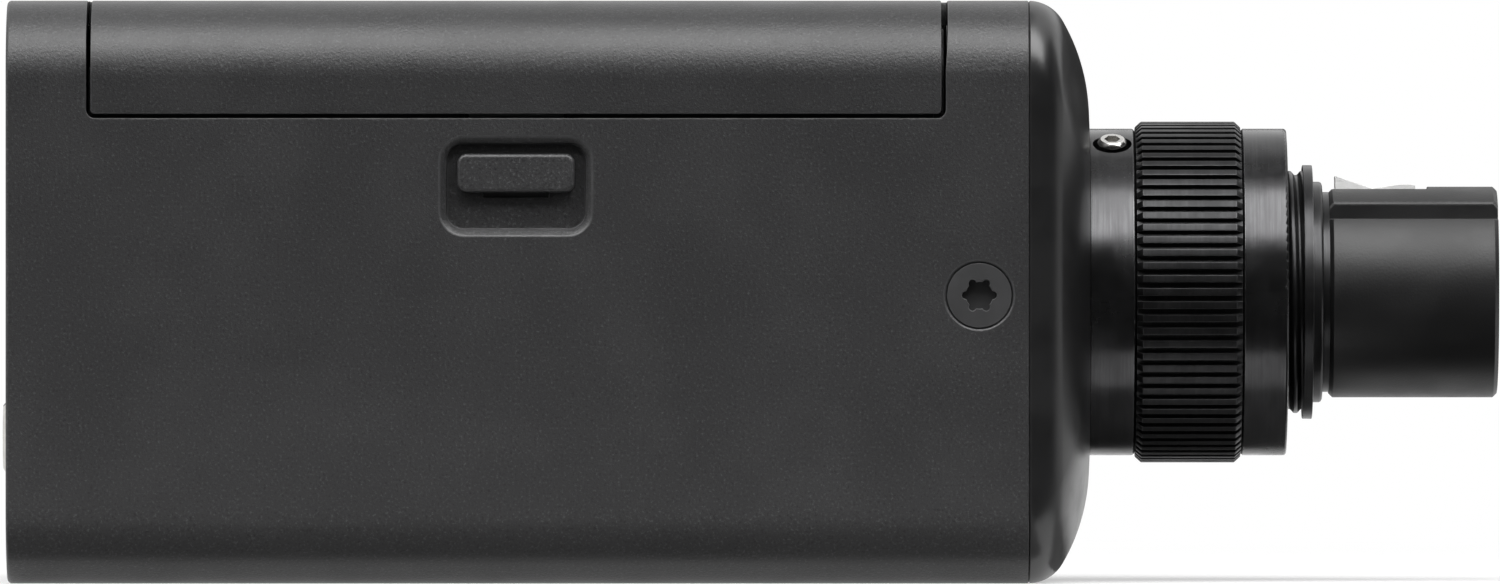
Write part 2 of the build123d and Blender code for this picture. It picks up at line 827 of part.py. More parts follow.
with BuildPart() as board_screws:
    with BuildSketch(Plane.XY.offset(board_top)):
        with Locations((board_mid_x, 0)):
            with GridLocations(2 * standoff_x, 2 * standoff_y, 2, 2):
                Circle(small_screw_head)
    extrude(amount=small_screw_head_height)
    with BuildSketch(Plane.XY.offset(board_top)):
        with Locations((board_mid_x, 0)):
            with GridLocations(2 * standoff_x, 2 * standoff_y, 2, 2):
                Circle(small_screw_radius)
    extrude(amount=-small_screw_length)
finish(board_screws.part, "board_screws")

with BuildPart() as rf_shield:
    box_between(
        board_mid_x - shield_length / 2, board_mid_x + shield_length / 2,
        -shield_width / 2, shield_width / 2, board_top, board_top + shield_height,
    )
    fillet(rf_shield.edges().filter_by(Axis.Z), 2 * shield_wall)
    offset(amount=-shield_wall, openings=rf_shield.faces().sort_by(Axis.Z)[0])
finish(rf_shield.part, "rf_shield")

with BuildPart() as key_board:
    box_between(
        display_x - window_width / 2 - key_board_margin, key_first_x + 2 * key_pitch + key_width,
        key_board_y, key_board_back, board_top + free, control_z + key_board_rise,
    )
finish(key_board.part, "key_board")

with BuildPart() as rear_board:
    box_between(
        rear_board_x, rear_board_x + board_thickness, -rear_board_width / 2, rear_board_width / 2,
        jack_z + jack_body_width / 2 + seat, power_z + rear_board_above,
    )
    for side in (RIGHT, LEFT):
        box_between(
            rear_board_x, rear_board_x + board_thickness,
            side * (jack_body_width / 2 + seat), side * (port_y - usb_width / 2 - seat),
            board_top + snug, power_z,
        )
finish(rear_board.part, "rear_board")

with BuildPart() as power_switch:
    box_between(
        rear_board_x - power_switch_body, rear_board_x, -power_switch_width / 2, power_switch_width / 2,
        power_z - power_switch_width / 2, power_z + power_switch_width / 2,
    )
    rod_between(power_switch_x, rear_board_x, 0, power_z, power_switch_plunger)
finish(power_switch.part, "power_switch")

with BuildPart() as power_button:
    rod_between(panel_x + snug, power_flange_x, 0, power_z, power_radius)
    fillet(power_button.faces().sort_by(Axis.X)[0].edges(), edge_break)
    rod_between(power_flange_x, power_flange_x + power_flange, 0, power_z, power_radius + power_flange)
finish(power_button.part, "power_button")

with BuildPart() as usb_socket:
    with BuildSketch(Plane(origin=(usb_x, port_y, port_z), x_dir=(0, 1, 0), z_dir=(1, 0, 0))):
        RectangleRounded(usb_width, usb_height, usb_height / 2 - free)
    extrude(amount=usb_length)
    with BuildSketch(Plane(origin=(usb_x, port_y, port_z), x_dir=(0, 1, 0), z_dir=(1, 0, 0))):
        RectangleRounded(
            usb_width - 2 * usb_wall, usb_height - 2 * usb_wall, usb_height / 2 - free - usb_wall
        )
        Rectangle(usb_tongue_width, usb_tongue_height, mode=Mode.SUBTRACT)
    extrude(amount=usb_length - usb_wall, mode=Mode.SUBTRACT)
    box_between(
        usb_x, usb_x + usb_tongue_recess, port_y - usb_width / 2 + usb_wall,
        port_y + usb_width / 2 - usb_wall, port_z - usb_tongue_height / 2,
        port_z + usb_tongue_height / 2, Mode.SUBTRACT,
    )
finish(usb_socket.part, "usb_socket")

with BuildPart() as light_pipe:
    rod_between(panel_x, light_pipe_x1, -port_y, port_z, light_radius)
    rod_between(panel_back_x + snug, light_pipe_x1, -port_y, port_z, light_radius + seat)
finish(light_pipe.part, "light_pipe")

with BuildPart() as status_led:
    box_between(
        light_pipe_x1 + free, light_pipe_x1 + free + led_size, -port_y - led_size / 2,
        -port_y + led_size / 2, board_top, port_z + light_radius,
    )
finish(status_led.part, "status_led")

with BuildPart() as jack_bushing:
    rod_between(jack_x0, jack_x1, 0, jack_z, jack_radius)
    chamfer(jack_bushing.faces().sort_by(Axis.X)[0].edges(), edge_break)
    rod_between(jack_x0, jack_x1, 0, jack_z, jack_bore, Mode.SUBTRACT)
finish(jack_bushing.part, "jack_bushing")

with BuildPart() as jack_body:
    box_between(
        panel_back_x + free, panel_back_x + free + jack_body_length,
        -jack_body_width / 2, jack_body_width / 2, board_top, 2 * jack_z - board_top,
    )
    rod_between(panel_back_x + free, jack_x1, 0, jack_z, jack_radius + running, Mode.SUBTRACT)
    rod_between(panel_back_x + free, jack_bore_x1, 0, jack_z, jack_bore, Mode.SUBTRACT)
finish(jack_body.part, "jack_body")

# ---------------------------------------------------------------- display and keys
with BuildPart() as display_window:
    with BuildSketch(flank(LEFT, window_ledge)):
        with Locations(spot(LEFT, display_x, control_z)):
            RectangleRounded(window_width, window_height, window_corner)
    extrude(amount=window_thickness)
finish(display_window.part, "display_window")

with BuildPart() as display_module:
    box_between(
        display_x - window_width / 2 - display_rim, display_x + window_width / 2 + display_rim,
        key_board_back + snug, key_board_back + snug + display_thickness,
        control_z - window_height / 2 - display_rim, control_z + window_height / 2 + display_rim,
    )
finish(display_module.part, "display_module")

with BuildPart() as key_switches:
    for i in range(3):
        key_x = key_first_x + i * key_pitch
        box_between(
            key_x - key_width / 2 + snug, key_x + key_width / 2 - snug, key_board_back, key_switch_y,
            control_z - key_height / 2, control_z + key_height / 2,
        )
        with BuildSketch(flank(LEFT, half_width - key_switch_y)) as plunger:
            with Locations(spot(LEFT, key_x, control_z)):
                Circle(key_height / 3)
        extrude(plunger.sketch, amount=key_flange_y - key_travel - snug - key_switch_y)
finish(key_switches.part, "key_switches")

for i, name in enumerate(("key_up", "key_set", "key_down")):
    with BuildPart() as key:
        with BuildSketch(flank(LEFT, half_width - key_flange_y)):
            with Locations(spot(LEFT, key_first_x + i * key_pitch, control_z)):
                SlotOverall(key_width + 2 * key_flange_rim, key_height + 2 * key_flange_rim)
        extrude(amount=key_flange)
        with BuildSketch(flank(LEFT, half_width - key_flange_y)):
            with Locations(spot(LEFT, key_first_x + i * key_pitch, control_z)):
                SlotOverall(key_width, key_height)
        extrude(amount=half_width - free - key_flange_y)
        fillet(key.faces().sort_by(Axis.Y)[-1].edges(), edge_break)
    finish(key.part, name)

# ---------------------------------------------------------------- battery door
with BuildPart() as battery_door:
    with BuildSketch(section_at(door_x0)):
        case_outline(0)
    extrude(amount=door_length)
    with BuildSketch(side_at(0)):
        with Locations((door_mid_x, door_z + case_height / 2)):
            RectangleRounded(door_length, case_height, door_corner)
    extrude(amount=case_width, both=True, mode=Mode.INTERSECT)
    # The free end follows the swing, so that its lower corners clear the case
    with BuildSketch(side_at(0)):
        with Locations((pivot_x, pivot_z)):
            Circle(door_swing_radius)
    extrude(amount=case_width, both=True, mode=Mode.INTERSECT)
    with BuildSketch(section_at(door_x0)):
        case_outline(case_wall)
    extrude(amount=door_length, mode=Mode.SUBTRACT)
    # Tab that centres the free end, with a deeper root short of the domed end's spigot
    box_between(
        door_x1 - door_tab_root, opening_x1 + door_tab_lap, -door_tab_width / 2, door_tab_width / 2,
        inner_top + snug, case_height,
    )
    box_between(
        door_x1 - door_tab_root, seam_x - dome_spigot - free, -door_tab_width / 2, door_tab_width / 2,
        inner_top - 2 * free, inner_top + 2 * snug,
    )
    # Room for the hinge ears, and the hole of the pin
    for side in (RIGHT, LEFT):
        box_between(
            door_x0 - door_gap, pivot_x + hinge_ear_radius + seat,
            side * (hinge_ear_y - hinge_ear_width / 2 - 2 * free),
            side * (hinge_ear_y + hinge_ear_width / 2 + 2 * free),
            door_z, case_height, Mode.SUBTRACT,
        )
    with BuildSketch(side_at(0)):
        with Locations((pivot_x, pivot_z)):
            Circle(hinge_pin_radius + running)
    extrude(amount=hinge_pin_length / 2 + free, both=True, mode=Mode.SUBTRACT)
    # Lugs that the catches hold
    for side in (RIGHT, LEFT):
        box_between(
            door_mid_x - hook_width / 2, door_mid_x + hook_width / 2,
            side * (inner_half - lug_depth), side * (inner_half + case_wall / 2), lug_z, lug_z + lug_height,
        )
finish(battery_door.part, "battery_door")

# ---------------------------------------------------------------- catches
with BuildPart() as catch_knob_right:
    with BuildSketch(flank(RIGHT, pocket_depth - snug)):
        with Locations(spot(RIGHT, door_mid_x, knob_z)):
            RectangleRounded(knob_width, knob_height, knob_corner)
    extrude(amount=pocket_depth - snug + knob_proud)
    fillet(catch_knob_right.faces().sort_by(Axis.Y)[0].edges(), edge_break)
    with BuildSketch(flank(RIGHT, plate_depth)):
        with Locations(spot(RIGHT, door_mid_x, stem_z)):
            Rectangle(stem_width, stem_height)
    extrude(amount=plate_depth - pocket_depth + snug)
finish(catch_knob_right.part, "catch_knob_right")

with BuildPart() as catch_knob_left:
    mirror(catch_knob_right.part, about=Plane.XZ)
finish(catch_knob_left.part, "catch_knob_left")

with BuildPart() as catch_plate_right:
    box_between(
        door_mid_x - catch_plate_width / 2, door_mid_x + catch_plate_width / 2,
        plate_depth - half_width, plate_back - half_width, plate_bottom, plate_top,
    )
    box_between(
        door_mid_x - hook_width / 2, door_mid_x + hook_width / 2,
        plate_depth - half_width, plate_back - half_width, plate_bottom, hook_top,
    )
    box_between(
        door_mid_x - hook_width / 2, door_mid_x + hook_width / 2,
        plate_depth - half_width - hook_tooth, plate_back - half_width,
        lug_z + lug_height + 2 * free, hook_top,
    )
finish(catch_plate_right.part, "catch_plate_right")

with BuildPart() as catch_plate_left:
    mirror(catch_plate_right.part, about=Plane.XZ)
finish(catch_plate_left.part, "catch_plate_left")

with BuildPart() as catch_spring_right:
    coil(
        catch_spring_radius, catch_spring_wire, catch_spring_length, catch_spring_turns,
        Plane(
            origin=(door_mid_x, (plate_depth + plate_back) / 2 - half_width, spring_seat_z),
            x_dir=(1, 0, 0), z_dir=(0, 0, 1),
        ),
    )
finish(catch_spring_right.part, "catch_spring_right")

with BuildPart() as catch_spring_left:
    mirror(catch_spring_right.part, about=Plane.XZ)
finish(catch_spring_left.part, "catch_spring_left")

# ---------------------------------------------------------------- collar
with BuildPart() as collar_base:
    turned([
        (dome_inner_x, barrel_tail_radius + running), (neck_x, barrel_tail_radius + running),
        (neck_x, neck_radius - collar_edge), (neck_x - collar_edge, neck_radius),
        (dome_x, neck_radius), (dome_x, collar_spigot_radius), (dome_inner_x, collar_spigot_radius),
    ])
    with BuildSketch(set_screw_plane) as screw_hole:
        Circle(set_screw_radius + running)
    extrude(screw_hole.sketch, amount=neck_radius + 1, mode=Mode.SUBTRACT)
finish(collar_base.part, "collar_base")

with BuildPart() as set_screw:
    with BuildSketch(set_screw_plane.offset(barrel_tail_radius + snug)) as shank:
        Circle(set_screw_radius)
    extrude(shank.sketch, amount=neck_radius + set_screw_proud - barrel_tail_radius - snug)
    chamfer(set_screw.faces().sort_by(set_screw_axis)[-1].edges(), edge_break)
    with BuildSketch(set_screw_plane.offset(neck_radius + set_screw_proud)) as socket:
        RegularPolygon(set_screw_radius * 0.54, 6)
    extrude(socket.sketch, amount=-set_screw_radius, mode=Mode.SUBTRACT)
finish(set_screw.part, "set_screw")

with BuildPart() as xlr_barrel:
    turned([
        (barrel_x0, barrel_bore), (nose_x, barrel_bore), (nose_x, groove_radius),
        (groove_x, groove_radius), (groove_x, step_radius), (disc_x, step_radius),
        (disc_x, thread_radius), (neck_x + snug, thread_radius), (neck_x + snug, barrel_tail_radius),
        (barrel_x0, barrel_tail_radius),
    ])
finish(xlr_barrel.part, "xlr_barrel")

with BuildPart() as barrel_nut:
    with BuildSketch(section_at(barrel_nut_x)):
        RegularPolygon(barrel_nut_radius, 6)
        Circle(barrel_tail_radius + running, mode=Mode.SUBTRACT)
    extrude(amount=barrel_nut_length)
finish(barrel_nut.part, "barrel_nut")

with BuildPart() as retaining_ring:
    turned([
        (disc_x, step_radius + running), (disc_x, disc_radius), (step_x, disc_radius),
        (step_x, step_radius + running),
    ])
finish(retaining_ring.part, "retaining_ring")

with BuildPart() as locking_nut:
    turned([
        (neck_x + snug, nut_bore), (push_ring_x - snug, nut_bore),
        (push_ring_x - snug, push_ring_radius + running), (lip_face_x, push_ring_radius + running),
        (lip_face_x, neck_radius), (grip_x + collar_edge, neck_radius),
        (grip_x, neck_radius - collar_edge), (grip_x, hub_radius), (neck_x + snug, hub_radius),
    ])
    lip_edges = locking_nut.edges().filter_by(GeomType.CIRCLE).group_by(Axis.X)[-1]
    fillet(lip_edges.sort_by(Edge.length)[-1], lip_bulge)
finish(locking_nut.part, "locking_nut")

with BuildPart() as grip_ring:
    with BuildSketch(section_at(neck_x + snug)):
        Circle(grip_crest)
        Circle(hub_radius + running, mode=Mode.SUBTRACT)
        with PolarLocations(grip_crest, grip_teeth):
            Rectangle(2 * (grip_crest - grip_root), groove_width, mode=Mode.SUBTRACT)
    extrude(amount=grip_length - snug - running)
    turned([
        (neck_x, 0), (neck_x, grip_crest - grip_chamfer), (neck_x + snug + grip_chamfer, grip_crest),
        (grip_x - running - grip_chamfer, grip_crest), (grip_x, grip_crest - grip_chamfer), (grip_x, 0),
    ], Mode.INTERSECT)
finish(grip_ring.part, "grip_ring")

with BuildPart() as push_ring:
    turned([
        (push_ring_x, push_ring_radius - push_ring_wall), (push_ring_x, push_ring_radius),
        (push_ring_x + push_ring_length, push_ring_radius),
        (push_ring_x + push_ring_length, push_ring_radius - push_ring_wall),
    ])
finish(push_ring.part, "push_ring")

# ---------------------------------------------------------------- connector
with BuildPart() as xlr_nose:
    turned([
        (insert_x0, nose_bore), (tip_x, nose_bore), (tip_x, nose_radius - edge_break),
        (tip_x - edge_break, nose_radius), (nose_x + edge_break, nose_radius),
        (nose_x, nose_radius - edge_break), (nose_x, barrel_bore - snug), (insert_x0, barrel_bore - snug),
    ])
    # A long step on each side of the keyway's rail
    for side in (RIGHT, LEFT):
        box_between(
            nose_x, tip_x, side * rail_half_width, side * nose_radius, axis_z + rail_step, case_height,
            Mode.SUBTRACT,
        )
    # Slot and pin hole of the latch
    box_between(
        nose_x, latch_slot_x1, -latch_slot_width / 2, latch_slot_width / 2,
        axis_z + latch_slot_floor, case_height, Mode.SUBTRACT,
    )
    with BuildSketch(side_at(0)):
        with Locations((latch_pivot_x, axis_z + latch_pivot_r)):
            Circle(latch_pin_radius + running / 3)
    extrude(amount=latch_pin_length / 2, both=True, mode=Mode.SUBTRACT)
finish(xlr_nose.part, "xlr_nose")

with BuildPart() as xlr_insert:
    rod_between(insert_x0, insert_x1, 0, axis_z, insert_radius)
    for y, z in pin_places:
        rod_between(contact_x0, insert_x1, y, z, contact_radius + running, Mode.SUBTRACT)
        rod_between(insert_x0, contact_x0, y, z, contact_tail_radius + running, Mode.SUBTRACT)
    box_between(
        nose_x, latch_slot_x1, -latch_slot_width / 2, latch_slot_width / 2,
        axis_z + latch_slot_floor, case_height, Mode.SUBTRACT,
    )
    with BuildSketch(side_at(0)):
        with Locations((latch_pivot_x, axis_z + latch_pivot_r)):
            Circle(latch_pin_radius + running)
    extrude(amount=latch_pin_length / 2, both=True, mode=Mode.SUBTRACT)
finish(xlr_insert.part, "xlr_insert")

with BuildPart() as xlr_contacts:
    for y, z in pin_places:
        rod_between(contact_x0, contact_x1, y, z, contact_radius)
        rod_between(contact_x0 + contact_floor, contact_x1, y, z, contact_bore, Mode.SUBTRACT)
        rod_between(xlr_board_x - contact_tail_radius, contact_x0, y, z, contact_tail_radius)
finish(xlr_contacts.part, "xlr_contacts")

with BuildPart() as xlr_board:
    rod_between(xlr_board_x, xlr_board_x + xlr_board_thickness, 0, axis_z, barrel_bore - free)
    for y, z in pin_places:
        rod_between(
            xlr_board_x, xlr_board_x + xlr_board_thickness, y, z, contact_tail_radius + running,
            Mode.SUBTRACT,
        )
finish(xlr_board.part, "xlr_board")

with BuildPart() as latch_lever:
    with BuildSketch(Plane(origin=(latch_x0, 0, axis_z), x_dir=(1, 0, 0), z_dir=(0, -1, 0))):
        with BuildLine():
            Polyline(
                (0, latch_hook_foot), (0, latch_peak), (latch_slope, latch_slope_radius),
                (latch_heel, latch_heel_radius), (latch_length - seat, latch_heel_radius),
                (latch_length, latch_tail_radius), (latch_length, latch_tail_foot + seat),
                (latch_heel - latch_pivot_inset, latch_tail_foot), close=True,
            )
        make_face()
        with Locations((latch_pivot_x - latch_x0, latch_pivot_r)):
            Circle(latch_pin_radius + running, mode=Mode.SUBTRACT)
    extrude(amount=latch_width / 2, both=True)
finish(latch_lever.part, "latch_lever")

with BuildPart() as latch_pin:
    with BuildSketch(side_at(0)):
        with Locations((latch_pivot_x, axis_z + latch_pivot_r)):
            Circle(latch_pin_radius)
    extrude(amount=latch_pin_length / 2 - snug, both=True)
finish(latch_pin.part, "latch_pin")

with BuildPart() as latch_spring:
    with BuildSketch(Plane(origin=(latch_x0, 0, axis_z), x_dir=(1, 0, 0), z_dir=(0, -1, 0))):
        with BuildLine():
            Polyline(
                (latch_leaf_foot, latch_slot_floor), (latch_leaf_foot, latch_slot_floor + latch_leaf),
                (latch_slope, latch_slot_floor + latch_leaf), (latch_leaf_x, latch_hook_foot - free),
                (latch_leaf_x, latch_hook_foot - free - latch_leaf), (latch_slope, latch_slot_floor),
                close=True,
            )
        make_face()
    extrude(amount=latch_width / 3, both=True)
finish(latch_spring.part, "latch_spring")
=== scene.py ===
"""Finishes, marks and studio for the plug-on transmitter, dressed round its solid frame."""

import json
import math

import bmesh
import bpy
from mathutils import Matrix, Vector

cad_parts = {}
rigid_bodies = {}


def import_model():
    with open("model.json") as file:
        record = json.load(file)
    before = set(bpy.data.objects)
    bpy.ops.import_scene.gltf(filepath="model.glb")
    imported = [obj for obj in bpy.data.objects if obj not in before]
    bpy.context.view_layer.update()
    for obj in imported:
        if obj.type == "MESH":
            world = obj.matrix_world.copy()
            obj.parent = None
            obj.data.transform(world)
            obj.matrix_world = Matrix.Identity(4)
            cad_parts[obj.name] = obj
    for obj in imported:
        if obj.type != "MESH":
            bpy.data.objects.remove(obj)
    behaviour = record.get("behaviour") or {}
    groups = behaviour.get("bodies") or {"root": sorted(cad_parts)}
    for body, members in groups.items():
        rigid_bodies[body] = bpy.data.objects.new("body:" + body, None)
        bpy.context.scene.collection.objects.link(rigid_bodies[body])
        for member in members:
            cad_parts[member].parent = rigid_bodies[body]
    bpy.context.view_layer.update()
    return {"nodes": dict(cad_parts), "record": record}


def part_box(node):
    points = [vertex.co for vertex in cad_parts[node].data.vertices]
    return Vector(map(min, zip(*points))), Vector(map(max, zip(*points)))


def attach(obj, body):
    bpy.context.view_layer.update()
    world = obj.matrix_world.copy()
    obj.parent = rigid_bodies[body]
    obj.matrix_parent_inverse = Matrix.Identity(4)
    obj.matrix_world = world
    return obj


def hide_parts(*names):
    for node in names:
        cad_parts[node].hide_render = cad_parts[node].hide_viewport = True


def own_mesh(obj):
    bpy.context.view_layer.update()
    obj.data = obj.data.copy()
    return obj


bl_info = {
    "name": "Plug-on transmitter",
    "version": (1, 0, 0),
    "blender": (4, 5, 0),
    "location": "3D View > Sidebar > Transmitter",
    "description": "Dresses the packed transmitter with its finishes, marks and studio",
    "category": "Object",
}

for leftover in list(bpy.data.objects):
    bpy.data.objects.remove(leftover)
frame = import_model()

MM = 0.001
BODY_OF = {
    node: body for body, nodes in frame["record"]["behaviour"]["bodies"].items() for node in nodes
}
SLOT_OF = {row["node"]: row["material_slot"] for row in frame["record"]["subparts"]}


def span(node, axis):
    """The lowest and highest coordinate of a node along an axis."""
    low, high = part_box(node)
    return low[axis], high[axis]


SEAM_X = span("housing", 0)[1]
CASE_HALF_WIDTH = span("housing", 1)[1]
CASE_HALF_HEIGHT = span("housing", 2)[1] / 2
AXIS_Z = CASE_HALF_HEIGHT
DOME_X = span("end_dome", 0)[1]
COLLAR = Vector((0.0, 0.0, AXIS_Z))
ALONG = Vector((1.0, 0.0, 0.0))


# ---------------------------------------------------------------- what a user would change
def length(label, description, default):
    """A length that a user can change."""
    return bpy.props.FloatProperty(
        name=label, description=description, default=default, unit="LENGTH", precision=5)


def paint(label, description, default):
    """A colour that a user can change."""
    return bpy.props.FloatVectorProperty(
        name=label, description=description, default=default, subtype="COLOR", min=0, max=1)


def brightness(label, description, default):
    """A lamp's brightness that a user can change."""
    return bpy.props.FloatProperty(name=label, description=description, default=default, min=0)


class TransmitterShape(bpy.types.PropertyGroup):
    """Sizes of the details that the dressing adds."""

    case_edge: length("Case edge", "Rounding of the cut edges of the painted case", 0.11 * MM)
    fine_edge: length("Fine edge", "Rounding of the edges of small machined parts", 0.05 * MM)
    thread_pitch: length("Thread pitch", "Pitch of the collar's thread", 1.0 * MM)
    thread_depth: length("Thread depth", "Depth of the collar's thread", 0.3 * MM)
    rail_half_width: length("Rail half width", "Half the width of the connector's rail", 4.15 * MM)
    rail_edge: length("Rail edge", "Rounding along the connector's rail", 0.22 * MM)
    dome_corner: length("Dome corner", "Corner radius where the dome meets the case", 5.8 * MM)
    dome_shoulder: length("Dome shoulder", "Radius of the dome's shoulder", 3.0 * MM)
    dome_sweep: length("Dome sweep", "Radius of the dome's broad face", 14.2 * MM)
    screw_slimness: bpy.props.FloatProperty(
        name="Set screw", description="Width of the set screw as a share of its solid",
        default=0.78, min=0.5, max=1.0)


class TransmitterFinish(bpy.types.PropertyGroup):
    """Colours and textures of the finishes."""

    case_colour: paint("Case", "Powder coat of the case", (0.028, 0.028, 0.0288))
    door_colour: paint("Door", "Powder coat of the battery door", (0.025, 0.025, 0.0257))
    panel_colour: paint("Tail panel", "Powder coat of the tail panel", (0.022, 0.022, 0.023))
    dome_colour: paint("Dome", "Satin coat of the domed end", (0.0085, 0.0085, 0.0088))
    collar_colour: paint("Collar", "Black anodised, turned collar", (0.056, 0.056, 0.0575))
    nose_colour: paint("Nose", "Matt coat of the connector's nose", (0.006, 0.006, 0.0062))
    cell_colour: paint("Cell sleeve", "Film sleeve of the two cells", (0.03, 0.055, 0.11))
    grain: length("Grain", "Size of the powder coat's grain", 0.2 * MM)


class TransmitterStudio(bpy.types.PropertyGroup):
    """Floor, lamps and camera."""

    floor_colour: paint("Floor", "Colour of the pale floor", (0.86, 0.86, 0.86))
    key_radiance: brightness("Softbox", "Brightness of the softbox above the front", 5.0)
    front_radiance: brightness("Front fill", "Brightness of the fill in front", 0.5)
    rear_radiance: brightness("Rear fill", "Brightness of the fill behind", 1.5)
    glint_radiance: brightness("Glint", "Brightness of the glint on the dome's rim", 0.15)
    sky_radiance: brightness("Sky", "Brightness of the white surroundings as a light", 0.2)
    view_width: length("View width", "Width of the view at the object's middle", 112.1 * MM)
    lens: bpy.props.FloatProperty(
        name="Lens", description="Focal length of the camera", default=600.0,
        subtype="DISTANCE_CAMERA")


# ---------------------------------------------------------------- shader helpers
def add(tree, kind, inputs=None, **settings):
    """A shader node with its settings, its inputs given as values or as other nodes' sockets."""
    made = tree.nodes.new("ShaderNode" + kind)
    for key, value in settings.items():
        setattr(made, key, value)
    for key, value in (inputs or {}).items():
        if isinstance(value, bpy.types.NodeSocket):
            tree.links.new(value, made.inputs[key])
        else:
            made.inputs[key].default_value = value
    return made


def value_of(tree, operation, first, second=0.0, clamp=False):
    """The result of a Math node."""
    return add(tree, "Math", {0: first, 1: second}, operation=operation, use_clamp=clamp).outputs[0]


def mapped(tree, value, low, high, to_low=0.0, to_high=1.0):
    """A value mapped smoothly from one range to another."""
    return add(
        tree, "MapRange",
        {"Value": value, "From Min": low, "From Max": high, "To Min": to_low, "To Max": to_high},
        interpolation_type="SMOOTHSTEP",
    ).outputs["Result"]


def noise(tree, vector, scale, detail=2.0, roughness=0.55):
    """A noise texture's value over a vector."""
    return add(
        tree, "TexNoise",
        {"Vector": vector, "Scale": scale, "Detail": detail, "Roughness": roughness},
    ).outputs["Fac"]


def blended(tree, share, first, second):
    """A colour between two."""
    made = add(tree, "Mix", data_type="RGBA")
    for place, value in ((0, share), (6, first), (7, second)):
        socket = made.inputs[place]
        if isinstance(value, bpy.types.NodeSocket):
            tree.links.new(value, socket)
        elif isinstance(value, (int, float)):
            socket.default_value = value
        else:
            socket.default_value = (*value[:3], 1.0)
    return made.outputs[2]


def shade(colour, share):
    """A colour made lighter or darker by a share."""
    return tuple(min(1.0, max(0.0, part * share)) for part in colour[:3])


def looked_at(tree):
    """1 for the rays that a viewer, a mirror or a window sends, and 0 for those that only light."""
    path = add(tree, "LightPath").outputs
    seen = value_of(tree, "MAXIMUM", path["Is Camera Ray"], path["Is Glossy Ray"])
    return value_of(tree, "MAXIMUM", seen, path["Is Transmission Ray"])


class Finish:
    """A material with one Principled shader, and short ways to give it detail."""

    def __init__(self, name, **plain):
        self.material = bpy.data.materials.new(name)
        self.material.use_nodes = True
        self.tree = self.material.node_tree
        self.tree.nodes.clear()
        self.shader = add(self.tree, "BsdfPrincipled")
        self.output = add(self.tree, "OutputMaterial", {"Surface": self.shader.outputs["BSDF"]})
        self.set(**plain)

    def set(self, **plain):
        """Gives the shader's own sockets plain values."""
        for key, value in plain.items():
            self.shader.inputs[key.replace("_", " ")].default_value = value

    def place(self):
        """Object coordinates."""
        return add(self.tree, "TexCoord").outputs["Object"]

    def use(self, group, **inputs):
        """The outputs of a shared node group with this finish's own values."""
        made = self.tree.nodes.new("ShaderNodeGroup")
        made.node_tree = shared(group)
        for key, value in inputs.items():
            made.inputs[key.capitalize()].default_value = value
        return made.outputs

    def feed(self, socket, value):
        """Joins a value to one of the shader's sockets."""
        self.tree.links.new(value, self.shader.inputs[socket])

    def mix(self, share, first, second):
        """A colour between two."""
        return blended(self.tree, share, first, second)

    def paint(self, tone, rubbed):
        """Feeds the base colour, with another where the edges are rubbed."""
        self.feed("Base Color", self.mix(self.use("rub")["Mask"], tone, rubbed))

    def polish(self, share, least, most):
        """Feeds a roughness that a share moves between two values."""
        self.feed("Roughness", mapped(self.tree, share, 0.0, 1.0, least, most))

    def bump(self, height, distance, strength=1.0):
        """Raises the surface by a height."""
        made = add(
            self.tree, "Bump", {"Height": height, "Distance": distance, "Strength": strength})
        self.feed("Normal", made.outputs["Normal"])


def shared_group(name, inputs, outputs):
    """An empty shader node group with named inputs and outputs."""
    group = bpy.data.node_groups.new(name, "ShaderNodeTree")
    for label, default in inputs:
        socket = group.interface.new_socket(label, in_out="INPUT", socket_type="NodeSocketFloat")
        socket.default_value = default
    for label in outputs:
        group.interface.new_socket(label, in_out="OUTPUT", socket_type="NodeSocketFloat")
    enter = group.nodes.new("NodeGroupInput")
    leave = group.nodes.new("NodeGroupOutput")
    return group, enter.outputs, leave.inputs


def powder_grain_group():
    """Sandy powder coat: height of the grain, light specks and broad mottling."""
    group, enter, leave = shared_group(
        "powder_grain", [("Grain", 4500.0)], ["Height", "Specks", "Pits", "Mottle"])
    place = add(group, "TexCoord").outputs["Object"]
    sand = noise(group, place, enter["Grain"], 3.0, 0.65)
    finer = value_of(group, "MULTIPLY", enter["Grain"], 2.3)
    dust = noise(group, place, finer, 1.0, 0.5)
    height = value_of(group, "ADD", sand, value_of(group, "MULTIPLY", dust, 0.5))
    group.links.new(height, leave["Height"])
    group.links.new(mapped(group, sand, 0.55, 0.7), leave["Specks"])
    group.links.new(mapped(group, sand, 0.45, 0.32), leave["Pits"])
    group.links.new(mapped(group, noise(group, place, 110.0, 4.0, 0.6), 0.3, 0.7), leave["Mottle"])
    return group


